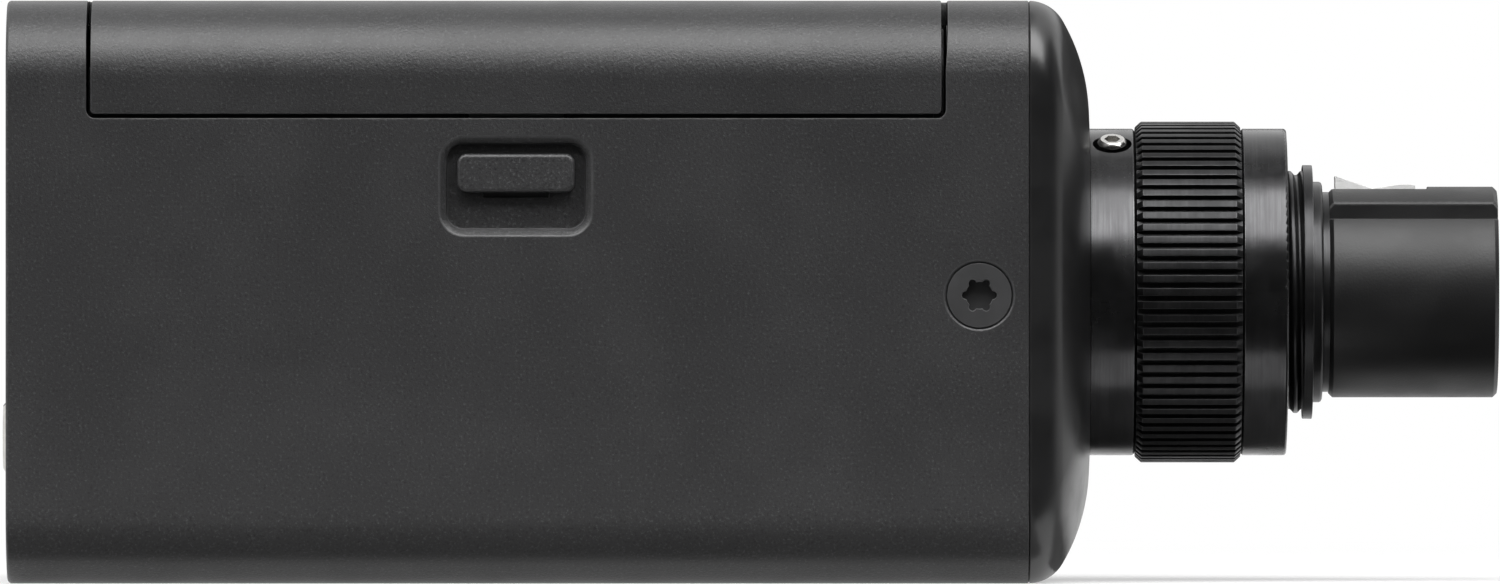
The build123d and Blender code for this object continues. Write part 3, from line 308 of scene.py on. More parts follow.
def turned_group():
    """Fine rings left by a lathe, round the connector's axis."""
    group, enter, leave = shared_group(
        "turning_marks", [("Lines", 9000.0), ("Axis height", AXIS_Z)], ["Height", "Streaks"])
    place = add(group, "TexCoord").outputs["Object"]
    parts = add(group, "SeparateXYZ", {0: place}).outputs
    up = value_of(group, "SUBTRACT", parts["Z"], enter["Axis height"])
    across = value_of(group, "POWER", parts["Y"], 2.0)
    squares = value_of(group, "ADD", across, value_of(group, "POWER", up, 2.0))
    radius = value_of(group, "SQRT", squares)
    along = value_of(group, "ADD", parts["X"], radius)
    turn = value_of(group, "ARCTAN2", up, parts["Y"])
    path = add(group, "CombineXYZ", {
        "X": value_of(group, "MULTIPLY", along, enter["Lines"]),
        "Y": value_of(group, "MULTIPLY", turn, 1.3),
    }).outputs[0]
    rings = noise(group, path, 1.0, 3.0, 0.7)
    broad = add(group, "CombineXYZ", {
        "X": value_of(group, "MULTIPLY", along, 900.0),
        "Y": value_of(group, "MULTIPLY", turn, 3.0),
    }).outputs[0]
    group.links.new(rings, leave["Height"])
    group.links.new(
        mapped(group, value_of(group, "MULTIPLY", noise(group, broad, 1.0, 2.0), rings), 0.15, 0.4),
        leave["Streaks"])
    return group


def handling_group():
    """Faint smudges and wipe marks from hands."""
    group, enter, leave = shared_group("handling", [("Size", 140.0)], ["Smudge", "Wipe"])
    place = add(group, "TexCoord").outputs["Object"]
    smudge = noise(group, place, enter["Size"], 5.0, 0.62)
    group.links.new(mapped(group, smudge, 0.35, 0.7), leave["Smudge"])
    stretched = add(group, "Mapping", {"Vector": place, "Scale": (0.25, 1.0, 3.0)}).outputs[0]
    wipe = noise(group, stretched, enter["Size"], 3.0, 0.5)
    group.links.new(mapped(group, wipe, 0.45, 0.7), leave["Wipe"])
    return group


def edge_rub_group():
    """Where rounded edges are rubbed a little lighter."""
    group, enter, leave = shared_group("edge_rub", [("Breakup", 900.0)], ["Mask"])
    marked = add(group, "Attribute", attribute_name="edge_rub").outputs["Fac"]
    place = add(group, "TexCoord").outputs["Object"]
    worn = mapped(group, noise(group, place, enter["Breakup"], 3.0, 0.6), 0.35, 0.65, 0.35, 1.0)
    group.links.new(value_of(group, "MULTIPLY", marked, worn, True), leave["Mask"])
    return group


def moulded_group():
    """The fine spark-eroded texture of moulded plastic."""
    group, enter, leave = shared_group("moulded_skin", [("Grain", 9000.0)], ["Height", "Tone"])
    place = add(group, "TexCoord").outputs["Object"]
    group.links.new(noise(group, place, enter["Grain"], 2.0, 0.5), leave["Height"])
    group.links.new(mapped(group, noise(group, place, 420.0, 4.0, 0.6), 0.3, 0.7), leave["Tone"])
    return group


def wire_group():
    """Drawing lines and spots on plated steel."""
    group, enter, leave = shared_group("plated_steel", [("Scale", 2600.0)], ["Height", "Spots"])
    place = add(group, "TexCoord").outputs["Object"]
    drawn = add(group, "Mapping", {"Vector": place, "Scale": (0.12, 1.0, 1.0)}).outputs[0]
    group.links.new(noise(group, drawn, enter["Scale"], 4.0, 0.6), leave["Height"])
    group.links.new(mapped(group, noise(group, place, 700.0, 4.0, 0.6), 0.35, 0.7), leave["Spots"])
    return group


GROUP_MAKERS = {
    "grain": powder_grain_group,
    "turned": turned_group,
    "handling": handling_group,
    "rub": edge_rub_group,
    "moulded": moulded_group,
    "plated": wire_group,
}
groups = {}


def shared(name):
    """A shared group, made when it is first asked for."""
    if name not in groups:
        groups[name] = GROUP_MAKERS[name]()
    return groups[name]


# ---------------------------------------------------------------- finishes
def powder_coat(name, colour, roughness=0.34):
    """Fine-textured powder coat with lighter rubbed edges."""
    finish = Finish(name)
    grain = finish.use("grain", grain=1.0 / bpy.context.scene.transmitter_finish.grain)
    tone = finish.mix(grain["Mottle"], shade(colour, 0.94), shade(colour, 1.06))
    tone = finish.mix(grain["Pits"], tone, shade(colour, 0.5))
    tone = finish.mix(grain["Specks"], tone, shade(colour, 2.2))
    finish.paint(tone, shade(colour, 1.7))
    finish.polish(finish.use("handling")["Smudge"], roughness, roughness + 0.06)
    finish.bump(grain["Height"], 0.05 * MM, 0.6)
    return finish.material


def satin_coat(name, colour, roughness, depth, gloss=0.5):
    """Smooth coat with a faint texture."""
    finish = Finish(name, Specular_IOR_Level=gloss)
    skin = finish.use("moulded", grain=6500.0)
    tone = finish.mix(skin["Tone"], shade(colour, 0.88), shade(colour, 1.12))
    finish.paint(tone, shade(colour, 1.8))
    finish.polish(finish.use("handling", size=170.0)["Smudge"], roughness, roughness + 0.07)
    finish.bump(skin["Height"], depth)
    return finish.material


def anodised(name, colour, roughness, lines=9000.0):
    """Turned aluminium, anodised black."""
    finish = Finish(name, Metallic=0.9)
    marks = finish.use("turned", lines=lines)
    tone = finish.mix(marks["Streaks"], shade(colour, 0.82), shade(colour, 1.15))
    finish.paint(tone, shade(colour, 2.0))
    finish.polish(finish.use("handling", size=210.0)["Smudge"], roughness, roughness + 0.08)
    finish.bump(marks["Height"], 0.004 * MM)
    return finish.material


def metal(name, colour, roughness):
    """Plated or bare metal."""
    finish = Finish(name, Metallic=1.0)
    skin = finish.use("plated", scale=2600.0)
    finish.paint(finish.mix(skin["Spots"], shade(colour, 0.86), colour), shade(colour, 1.15))
    finish.polish(skin["Spots"], roughness, roughness + 0.1)
    finish.bump(skin["Height"], 0.004 * MM)
    return finish.material


def nickel_painted_reflection(name):
    """Bright nickel plate whose pale base colour paints in the white reflection of its
    surroundings, so that it looks white from every side.
    """
    finish = Finish(name, Metallic=0.25)
    skin = finish.use("plated", scale=3000.0)
    finish.paint(finish.mix(skin["Spots"], (0.8, 0.8, 0.79), (0.9, 0.9, 0.89)), (0.62, 0.62, 0.61))
    finish.feed("Roughness", mapped(finish.tree, skin["Height"], 0.3, 0.7, 0.26, 0.38))
    finish.bump(skin["Height"], 0.003 * MM)
    return finish.material


def plastic(name, colour, roughness):
    """Moulded plastic."""
    finish = Finish(name)
    skin = finish.use("moulded", grain=9000.0)
    tone = finish.mix(skin["Tone"], shade(colour, 0.88), shade(colour, 1.1))
    finish.paint(tone, shade(colour, 1.6))
    finish.polish(skin["Tone"], roughness, roughness + 0.08)
    finish.bump(skin["Height"], 0.012 * MM)
    return finish.material


def circuit_board(name):
    """Solder mask over copper tracks, with tinned pads."""
    finish = Finish(name)
    tree = finish.tree
    place = finish.place()
    tracks = add(tree, "TexBrick", {
        "Vector": place, "Scale": 260.0, "Mortar Size": 0.035, "Mortar Smooth": 0.2,
        "Brick Width": 0.9, "Row Height": 0.28, "Color1": (0, 0, 0, 1), "Color2": (0, 0, 0, 1),
        "Mortar": (1, 1, 1, 1)}, offset=0.37).outputs["Fac"]
    pads = add(tree, "TexVoronoi", {"Vector": place, "Scale": 520.0, "Randomness": 0.55}).outputs
    pad = value_of(
        tree, "MULTIPLY", mapped(tree, pads["Distance"], 0.2, 0.24, 1.0, 0.0),
        mapped(tree, noise(tree, place, 210.0, 2.0), 0.5, 0.56))
    mask = finish.mix(tracks, (0.006, 0.045, 0.022), (0.012, 0.085, 0.04))
    finish.feed("Base Color", finish.mix(pad, mask, (0.62, 0.6, 0.56)))
    finish.feed("Metallic", pad)
    finish.polish(pad, 0.32, 0.24)
    finish.bump(value_of(tree, "ADD", tracks, pad), 0.03 * MM)
    return finish.material


def cell_sleeve(name):
    """Printed film sleeve: a plain dark body with a pale band towards the button end."""
    finish = Finish(name)
    tree = finish.tree
    colour = bpy.context.scene.transmitter_finish.cell_colour
    place = add(tree, "SeparateXYZ", {0: finish.place()}).outputs
    left = mapped(tree, place["Y"], -0.2 * MM, 0.2 * MM)
    outward = value_of(
        tree, "MULTIPLY", value_of(tree, "SUBTRACT", place["X"], sum(span("aa_cells", 0)) / 2),
        mapped(tree, left, 0.0, 1.0, 1.0, -1.0))
    band = value_of(
        tree, "MULTIPLY", mapped(tree, outward, 13.9 * MM, 14.0 * MM),
        mapped(tree, outward, 17.4 * MM, 17.5 * MM, 1.0, 0.0))
    cap = mapped(tree, outward, 18.2 * MM, 18.3 * MM)
    film = finish.use("moulded", grain=2500.0)
    body = finish.mix(film["Tone"], shade(colour, 0.9), shade(colour, 1.12))
    body = finish.mix(cap, body, (0.32, 0.34, 0.36))
    finish.feed("Base Color", finish.mix(band, body, (0.68, 0.69, 0.68)))
    finish.polish(film["Tone"], 0.24, 0.34)
    finish.bump(film["Height"], 0.01 * MM)
    return finish.material


def window_glass(name):
    """Tinted clear window."""
    finish = Finish(name, Metallic=0.0, Transmission_Weight=1.0, IOR=1.49)
    hands = finish.use("handling", size=260.0)
    finish.feed("Base Color", finish.mix(hands["Smudge"], (0.46, 0.47, 0.5), (0.42, 0.43, 0.46)))
    finish.polish(hands["Wipe"], 0.015, 0.06)
    return finish.material


def clear_rod(name):
    """Clear light pipe."""
    finish = Finish(name, Metallic=0.0, Transmission_Weight=0.85, IOR=1.49)
    skin = finish.use("moulded", grain=5000.0)
    finish.feed("Base Color", finish.mix(skin["Tone"], (0.8, 0.84, 0.83), (0.88, 0.9, 0.9)))
    finish.polish(skin["Tone"], 0.12, 0.2)
    return finish.material


def display_face(name):
    """Dark display glass with a faint cell grid."""
    finish = Finish(name)
    upright = {"Vector": finish.place(), "Rotation": (math.pi / 2, 0, 0)}
    grid = add(finish.tree, "TexBrick", {
        "Vector": add(finish.tree, "Mapping", upright).outputs[0],
        "Scale": 3200.0, "Mortar Size": 0.08, "Brick Width": 1.0, "Row Height": 1.0,
        "Color1": (0.006, 0.009, 0.014, 1), "Color2": (0.007, 0.01, 0.015, 1),
        "Mortar": (0.003, 0.004, 0.006, 1)}, offset=0.0)
    finish.feed("Base Color", grid.outputs["Color"])
    cloud = noise(finish.tree, finish.place(), 300.0)
    finish.feed("Roughness", mapped(finish.tree, cloud, 0.3, 0.7, 0.1, 0.18))
    return finish.material


def lit_mark(name, colour, strength):
    """Printed or lit mark."""
    finish = Finish(name, Roughness=0.5, Emission_Strength=strength)
    skin = finish.use("moulded", grain=4000.0)
    tone = finish.mix(skin["Tone"], shade(colour, 0.85), colour)
    finish.feed("Base Color", tone)
    finish.feed("Emission Color", tone)
    finish.bump(skin["Height"], 0.004 * MM)
    return finish.material


def finish_table():
    """The maker of every finish and what it is given, by the finish's name."""
    kit = bpy.context.scene.transmitter_finish
    return {
        "case_paint": (powder_coat, kit.case_colour),
        "door_paint": (powder_coat, kit.door_colour),
        "panel_paint": (powder_coat, kit.panel_colour),
        "knob_plastic": (powder_coat, shade(kit.case_colour, 1.15)),
        "dome_coat": (satin_coat, kit.dome_colour, 0.28, 0.002 * MM, 0.8),
        "nose_coat": (satin_coat, kit.nose_colour, 0.42, 0.01 * MM),
        "anodised_collar": (anodised, kit.collar_colour, 0.2),
        "anodised_thread": (anodised, shade(kit.collar_colour, 0.8), 0.3),
        "grip_coat": (anodised, shade(kit.collar_colour, 0.55), 0.36, 4000.0),
        "black_steel": (satin_coat, (0.034, 0.034, 0.035), 0.38, 0.004 * MM, 0.7),
        "steel": (metal, (0.42, 0.42, 0.425), 0.32),
        "spring_steel": (metal, (0.55, 0.545, 0.53), 0.26),
        "tinned_steel": (metal, (0.6, 0.6, 0.585), 0.3),
        "bright_nickel": (metal, (0.66, 0.65, 0.63), 0.16),
        # The latch's pale colour is a painted reflection of the white surroundings.
        "latch_painted_reflection": (nickel_painted_reflection,),
        "contact_gold": (metal, (0.72, 0.46, 0.16), 0.22),
        "circuit_board": (circuit_board,),
        "black_plastic": (plastic, (0.016, 0.016, 0.0165), 0.46),
        "key_plastic": (plastic, (0.024, 0.024, 0.025), 0.5),
        "switch_plastic": (plastic, (0.12, 0.12, 0.125), 0.4),
        "cell_wrap": (cell_sleeve,),
        "window_glass": (window_glass,),
        "clear_plastic": (clear_rod,),
        "display_face": (display_face,),
        "white_print": (lit_mark, (0.55, 0.55, 0.54), 0.0),
        "display_light": (lit_mark, (0.62, 0.8, 0.86), 0.7),
    }


finishes = {}


def finish_for(slot):
    """The material of a slot, made when it is first asked for."""
    if slot not in finishes:
        maker, *details = finish_table()[slot]
        finishes[slot] = maker(slot, *details)
    return finishes[slot]


# ---------------------------------------------------------------- mesh helpers
def welded(node):
    """A welded copy of a CAD node, with its flat faces in one piece."""
    made = bmesh.new()
    made.from_mesh(frame["nodes"][node].data)
    bmesh.ops.remove_doubles(made, verts=made.verts, dist=1e-6)
    bmesh.ops.dissolve_limit(
        made, angle_limit=math.radians(0.3), verts=made.verts, edges=made.edges)
    return made


def soften(made, width, angle=28.0, segments=2):
    """Rounds the sharp edges and marks the new faces, so that a finish can rub them lighter."""
    mark = made.faces.layers.float.get("edge_rub") or made.faces.layers.float.new("edge_rub")
    sharp = [
        edge for edge in made.edges
        if edge.is_manifold and edge.calc_face_angle() > math.radians(angle)
    ]
    result = bmesh.ops.bevel(
        made, geom=sharp, affect="EDGES", offset_type="OFFSET", offset=width, segments=segments,
        profile=0.5, material=-1, clamp_overlap=False, loop_slide=True)
    for face in result["faces"]:
        face[mark] = 1.0


def turned_normals(mesh):
    """Gives the faces that were turned about the connector's axis their exact shading."""
    normals = []
    for face in mesh.polygons:
        across = Vector((0.0, face.normal.y, face.normal.z))
        for loop in face.loop_indices:
            spot = mesh.vertices[mesh.loops[loop].vertex_index].co
            arm = Vector((0.0, spot.y, spot.z - AXIS_Z)).normalized()
            facing = across.dot(arm)
            if across.length > 0.1 and abs(facing) > 0.99 * across.length:
                round_it = arm * math.copysign(across.length, facing)
                normals.append(Vector((face.normal.x, 0.0, 0.0)) + round_it)
            else:
                normals.append(face.normal.copy())
    mesh.normals_split_custom_set(normals)


def placed(name, made):
    """A new object with a finished mesh, at the origin."""
    mesh = bpy.data.meshes.new(name)
    made.to_mesh(mesh)
    made.free()
    piece = bpy.data.objects.new(name, mesh)
    bpy.context.scene.collection.objects.link(piece)
    return piece


def set_down(name, made, body, slot, nodes=(), angle=32.0, shading="weighted", look=None):
    """Makes a finished piece of a mesh, riding on its body and standing for its CAD nodes."""
    for face in made.faces:
        face.smooth = True
    for edge in made.edges:
        edge.smooth = True
    piece = placed(name, made)
    mesh = piece.data
    split = mesh.attributes.get("custom_normal")
    if split:
        mesh.attributes.remove(split)
    mesh.set_sharp_from_angle(angle=math.radians(angle))
    mesh.materials.clear()
    mesh.materials.append(finish_for(look or slot))
    if shading == "weighted":
        even = piece.modifiers.new("even_shading", "WEIGHTED_NORMAL")
        even.keep_sharp = True
    elif shading == "turned":
        turned_normals(mesh)
    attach(piece, body)
    if nodes:
        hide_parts(*nodes)
    return piece


def softened_copy(node, width, angle=28.0, segments=2, shading="weighted", look=None):
    """Puts a softened copy in the place of a CAD node."""
    made = welded(node)
    soften(made, width, angle, segments)
    low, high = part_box(node)
    for vert in made.verts:
        vert.co = [min(max(part, least), most) for part, least, most in zip(vert.co, low, high)]
    return set_down(
        node + "_finished", made, BODY_OF[node], SLOT_OF[node], [node], shading=shading, look=look)


def spring_piece(node):
    """Puts a copy in the place of a CAD spring, with a mesh of its own."""
    spring = set_down(
        node + "_finished", welded(node), BODY_OF[node], SLOT_OF[node], [node], shading="plain")
    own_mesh(spring)


def coat(*nodes):
    """Gives CAD nodes that stay their finish."""
    for node in nodes:
        mesh = frame["nodes"][node].data
        mesh.materials.clear()
        mesh.materials.append(finish_for(SLOT_OF[node]))


def spun(made, points, steps, centre=COLLAR, closed=True):
    """Turns a profile of (x, radius) about the axis through a point, and adds it to a mesh."""
    verts = [made.verts.new(centre + Vector((x, 0.0, radius))) for x, radius in points]
    edges = [made.edges.new(pair) for pair in zip(verts, verts[1:] + (verts[:1] if closed else []))]
    bmesh.ops.spin(
        made, geom=verts + edges, cent=centre, axis=ALONG, angle=2 * math.pi, steps=steps,
        use_merge=True)
    bmesh.ops.remove_doubles(made, verts=made.verts, dist=1e-7)
    bmesh.ops.recalc_face_normals(made, faces=made.faces)


def run_thread(made, radius, reach, pitch, depth, centre=COLLAR, origin=0.0):
    """Sinks a rounded thread into a turned surface over its reach along the axis."""
    for vert in made.verts:
        arm = vert.co - Vector((vert.co.x, centre.y, centre.z))
        if arm.length > radius - 0.01 * MM and reach[0] < vert.co.x < reach[1]:
            turn = math.atan2(arm.z, arm.y) / (2 * math.pi)
            vert.co -= arm.normalized() * depth * ridge((vert.co.x - origin) / pitch - turn)


def ridge(phase, flat=0.18):
    """Depth of a rounded thread, from 0 at the crest to 1 at the root, over its phase."""
    wave = 0.5 - 0.5 * math.cos(2 * math.pi * phase)
    return min(1.0, max(0.0, (wave - flat) / (1.0 - 1.4 * flat)))


def raise_marks(made, outward, thickness):
    """Turns flat marks to face outward and gives them a thickness behind their face."""
    made.normal_update()
    inward = [face for face in made.faces if face.normal.dot(outward) < 0]
    bmesh.ops.reverse_faces(made, faces=inward)
    bmesh.ops.solidify(made, geom=made.faces[:], thickness=thickness)


# ---------------------------------------------------------------- pieces
class DressStage(bpy.types.Operator):
    """Sets up the floor, the cards, the lamps, the world and the camera"""

    bl_idname = "transmitter.dress_stage"
    bl_label = "Studio"

    # Cards round the part: middle and size in metres.
    flags = {
        "front_flag": ((0.0, -1.9, 0.6), (3.8, 0.0, 1.4)),
        "right_flag": ((1.9, -0.4, 0.6), (0.0, 3.0, 1.4)),
        "rear_flag": ((-0.35, 1.5, 0.0), (4.5, 0.0, 0.75)),
        "overhead_flag": ((0.08, 0.06, 0.45), (0.1, 0.2, 0.0)),
    }
    # Cards that lie on the table: cloth, then left, right, front and back in millimetres. The grey
    # cards in front of the case and under the collar, and the black card under the connector's
    # nose, are painted shadow: they stand in for the floor's contact shadow, seen only in
    # reflections and bounce light.
    table_flags = {
        "table_flag": ("black_cloth", -1800.0, 1800.0, -2000.0, -46.0),
        "case_painted_shadow": ("painted_shadow_grey", -70.0, 24.0, -32.0, -18.5),
        "collar_flag": ("black_cloth", 24.0, 75.0, -46.0, -30.0),
        "collar_painted_shadow": ("painted_shadow_grey", 24.0, 44.0, -15.0, 12.0),
        "nose_painted_shadow": ("black_cloth", 44.0, 75.0, -30.0, -2.0),
    }
    # The grey tone is the painted contact shadow's.
    cloth_tones = {"black_cloth": 0.016, "painted_shadow_grey": 0.22}
    cloth_thickness = 0.2 * MM
    cloth_height = -0.2 * MM
    table_height = -0.5 * MM
    floor_reach = 9.0

    def execute(self, context):
        studio = context.scene.transmitter_studio
        context.scene.view_settings.view_transform = "Standard"
        self.world(studio)
        self.floor(studio)
        for name, (middle, size) in self.flags.items():
            self.card(name, middle, size, "black_cloth")
        for name, (cloth, left, right, front, back) in self.table_flags.items():
            middle = ((left + right) / 2 * MM, (front + back) / 2 * MM, self.cloth_height)
            size = ((right - left) * MM, (back - front) * MM, 0.0)
            self.card(name, middle, size, cloth).visible_diffuse = True
        self.lamp("softbox", studio.key_radiance, (0.06, 0.0), 57.5, 0.8, (1.9, 0.56))
        for name, radiance, side in (
                ("front_fill", studio.front_radiance, 0.0),
                ("rear_fill", studio.rear_radiance, 180.0)):
            fill = self.lamp(name, radiance, (0.0, side), 17.0, 1.6, (1.6, 1.0))
            fill.visible_glossy = False
        glint = self.lamp("dome_glint", studio.glint_radiance, (0.0, 108.0), 4.0, 1.5, (1.2, 1.0))
        glint.visible_diffuse = False
        self.camera(studio)
        return {"FINISHED"}

    def camera(self, studio):
        """A long lens, level with the connector's axis."""
        lens = bpy.data.cameras.new("studio_camera")
        lens.sensor_width = 36.0
        lens.lens = studio.lens
        lens.clip_start, lens.clip_end = 0.1, 30.0
        camera = bpy.data.objects.new("studio_camera", lens)
        distance = studio.lens * studio.view_width / lens.sensor_width
        camera.location = (0.0, -distance, AXIS_Z)
        camera.rotation_euler = (math.radians(90), 0.0, 0.0)
        bpy.context.scene.collection.objects.link(camera)
        bpy.context.scene.camera = camera

    def world(self, studio):
        """White for what looks at it, and a soft fill for the rest."""
        world = bpy.data.worlds.new("studio_world")
        bpy.context.scene.world = world
        world.use_nodes = True
        tree = world.node_tree
        tree.nodes.clear()
        strength = mapped(tree, looked_at(tree), 0.0, 1.0, studio.sky_radiance, 1.0)
        sky = add(tree, "Background", {"Color": (1, 1, 1, 1), "Strength": strength})
        add(tree, "OutputWorld", {"Surface": sky.outputs[0]})

    def floor(self, studio):
        """Pale floor for the camera, and its twin below the cards for every other ray."""
        finish = Finish("floor_paint", Roughness=0.75, Specular_IOR_Level=0.1)
        tree = finish.tree
        place = finish.place()
        finish.feed("Base Color", finish.mix(
            noise(tree, place, 900.0, 2.0), shade(studio.floor_colour, 0.985), studio.floor_colour))
        glow = add(tree, "Emission", {"Color": (1, 1, 1, 1), "Strength": 1.0})
        distance = add(tree, "VectorMath", {0: place}, operation="LENGTH").outputs["Value"]
        away = mapped(tree, distance, 0.07, 0.3, 0.5, 1.0)
        share = value_of(tree, "MULTIPLY", looked_at(tree), away)
        mixed = add(tree, "MixShader", {0: share, 1: finish.shader.outputs[0], 2: glow.outputs[0]})
        tree.links.new(mixed.outputs[0], finish.output.inputs["Surface"])
        twins = []
        for name in ("floor", "table"):
            made = bmesh.new()
            bmesh.ops.create_grid(made, x_segments=2, y_segments=2, size=self.floor_reach)
            twin = placed(name, made)
            twin.data.materials.append(finish.material)
            twins.append(twin)
        floor, table = twins
        for ray in ("diffuse", "glossy", "transmission", "shadow"):
            setattr(floor, "visible_" + ray, False)
        table.visible_camera = False
        table.location.z = self.table_height

    def card(self, name, middle, size, cloth):
        """A dark card for the reflections to see."""
        made = bmesh.new()
        bmesh.ops.create_cube(made, size=1.0)
        thick = [max(part, self.cloth_thickness) for part in size]
        bmesh.ops.scale(made, vec=thick, verts=made.verts)
        bmesh.ops.translate(made, vec=middle, verts=made.verts)
        card = placed(name, made)
        if cloth not in bpy.data.materials:
            tone = self.cloth_tones[cloth]
            finish = Finish(cloth, Roughness=1.0, Specular_IOR_Level=0.0)
            weave = noise(finish.tree, finish.place(), 60.0)
            finish.feed("Base Color", finish.mix(weave, (0.8 * tone,) * 3, (1.2 * tone,) * 3))
        card.data.materials.append(bpy.data.materials[cloth])
        for ray in ("camera", "diffuse", "transmission", "volume_scatter", "shadow"):
            setattr(card, "visible_" + ray, False)
        return card

    def lamp(self, name, radiance, bearing, height, distance, size):
        """An even softbox, aimed at the connector's axis from a side and a height in degrees."""
        light = bpy.data.lights.new(name, "AREA")
        light.shape = "RECTANGLE"
        light.size, light.size_y = size
        light.energy = radiance * math.pi * size[0] * size[1]
        lamp = bpy.data.objects.new(name, light)
        along, side = bearing
        lamp.rotation_euler = (math.radians(90 - height), 0.0, math.radians(side))
        back = lamp.rotation_euler.to_matrix() @ Vector((0.0, 0.0, distance))
        lamp.location = Vector((along, 0.0, AXIS_Z)) + back
        lamp.visible_camera = False
        bpy.context.scene.collection.objects.link(lamp)
        return lamp


class DressCase(bpy.types.Operator):
    """Paints the case and the battery door and rounds their cut edges"""

    bl_idname = "transmitter.dress_case"
    bl_label = "Case and door"

    def execute(self, context):
        shape = context.scene.transmitter_shape
        softened_copy("housing", shape.case_edge)
        softened_copy("battery_door", shape.case_edge)
        coat("hinge_pin")
        return {"FINISHED"}


class DressDome(bpy.types.Operator):
    """Builds the smooth domed end with its plate and spigot"""

    bl_idname = "transmitter.dress_dome"
    bl_label = "Domed end"

    corner_steps = 16
    shoulder_rings = 12
    sweep_rings = 14
    seam_step = 0.12 * MM
    plate = 3.1 * MM
    spigot_inset = 1.85 * MM
    spigot_wall = 1.6 * MM
    bore_radius = 10.35 * MM
    face_margin = 0.33 * MM

    def execute(self, context):
        shape = context.scene.transmitter_shape
        made = bmesh.new()
        outer, inner = self.spigot_inset, self.spigot_inset + self.spigot_wall
        depth = DOME_X - SEAM_X
        blend = math.asin((shape.dome_sweep - depth) / (shape.dome_sweep - shape.dome_shoulder))
        face_inset = self.profile(shape, blend, math.pi / 2)[1]
        face_corner = CASE_HALF_WIDTH - face_inset - self.face_margin
        first, last = self.shoulder_rings, self.sweep_rings
        angles = [blend * step / first for step in range(first + 1)]
        angles += [blend + (math.pi / 2 - blend) * (step + 1) / last for step in range(last)]
        rings = [self.ring(made, SEAM_X, self.seam_step, shape.dome_corner - self.seam_step)]
        for angle in angles:
            along, inset = self.profile(shape, blend, angle)
            corner = shape.dome_corner + (face_corner - shape.dome_corner) * inset / face_inset
            rings.append(self.ring(made, SEAM_X + max(along, self.seam_step), inset, corner))
        rings.append(self.circle(made, DOME_X, self.bore_radius))
        rings.append(self.circle(made, DOME_X - self.plate, self.bore_radius))
        plate_x, spigot_x = DOME_X - self.plate, span("end_dome", 0)[0]
        for x, inset in (
                (plate_x, inner), (spigot_x, inner), (spigot_x, outer), (SEAM_X, outer)):
            rings.append(self.ring(made, x, inset, shape.dome_corner - inset))
        for one, other in zip(rings, rings[1:] + rings[:1]):
            bmesh.ops.bridge_loops(made, edges=one + other)
        bmesh.ops.recalc_face_normals(made, faces=made.faces)
        set_down("end_dome_finished", made, "case", "dome_coat", ["end_dome"], angle=40)
        softened_copy("dome_screws", shape.fine_edge)
        return {"FINISHED"}

    def profile(self, shape, blend, angle):
        """The dome's distance from the seam and its inset, once its outline has turned so far."""
        first = min(angle, blend)
        along = shape.dome_shoulder * math.sin(first)
        inset = shape.dome_shoulder * (1 - math.cos(first))
        if angle > blend:
            along += shape.dome_sweep * (math.sin(angle) - math.sin(blend))
            inset += shape.dome_sweep * (math.cos(blend) - math.cos(angle))
        return along, inset

    def loop(self, made):
        """A closed loop of vertices, a quarter turn's steps apart."""
        verts = bmesh.ops.create_circle(
            made, cap_ends=False, radius=1.0, segments=4 * (self.corner_steps + 1))["verts"]
        edges = list({edge for vert in verts for edge in vert.link_edges})
        return verts, edges

    def ring(self, made, x, inset, corner):
        """The case's rounded outline at x, drawn in by an inset."""
        verts, edges = self.loop(made)
        wide = CASE_HALF_WIDTH - inset - corner
        high = CASE_HALF_HEIGHT - inset - corner
        for index, vert in enumerate(verts):
            quarter, step = divmod(index, self.corner_steps + 1)
            angle = math.pi / 2 * (quarter + step / self.corner_steps)
            side = 1 if quarter in (0, 3) else -1
            top = 1 if quarter in (0, 1) else -1
            y = side * wide + corner * math.cos(angle)
            vert.co = Vector((x, y, AXIS_Z + top * high + corner * math.sin(angle)))
        return edges

    def circle(self, made, x, radius):
        """A round loop at x."""
        verts, edges = self.loop(made)
        for index, vert in enumerate(verts):
            quarter, step = divmod(index, self.corner_steps + 1)
            angle = math.pi / 2 * (quarter + (step + 0.5) / (self.corner_steps + 1))
            vert.co = Vector((x, radius * math.cos(angle), AXIS_Z + radius * math.sin(angle)))
        return edges


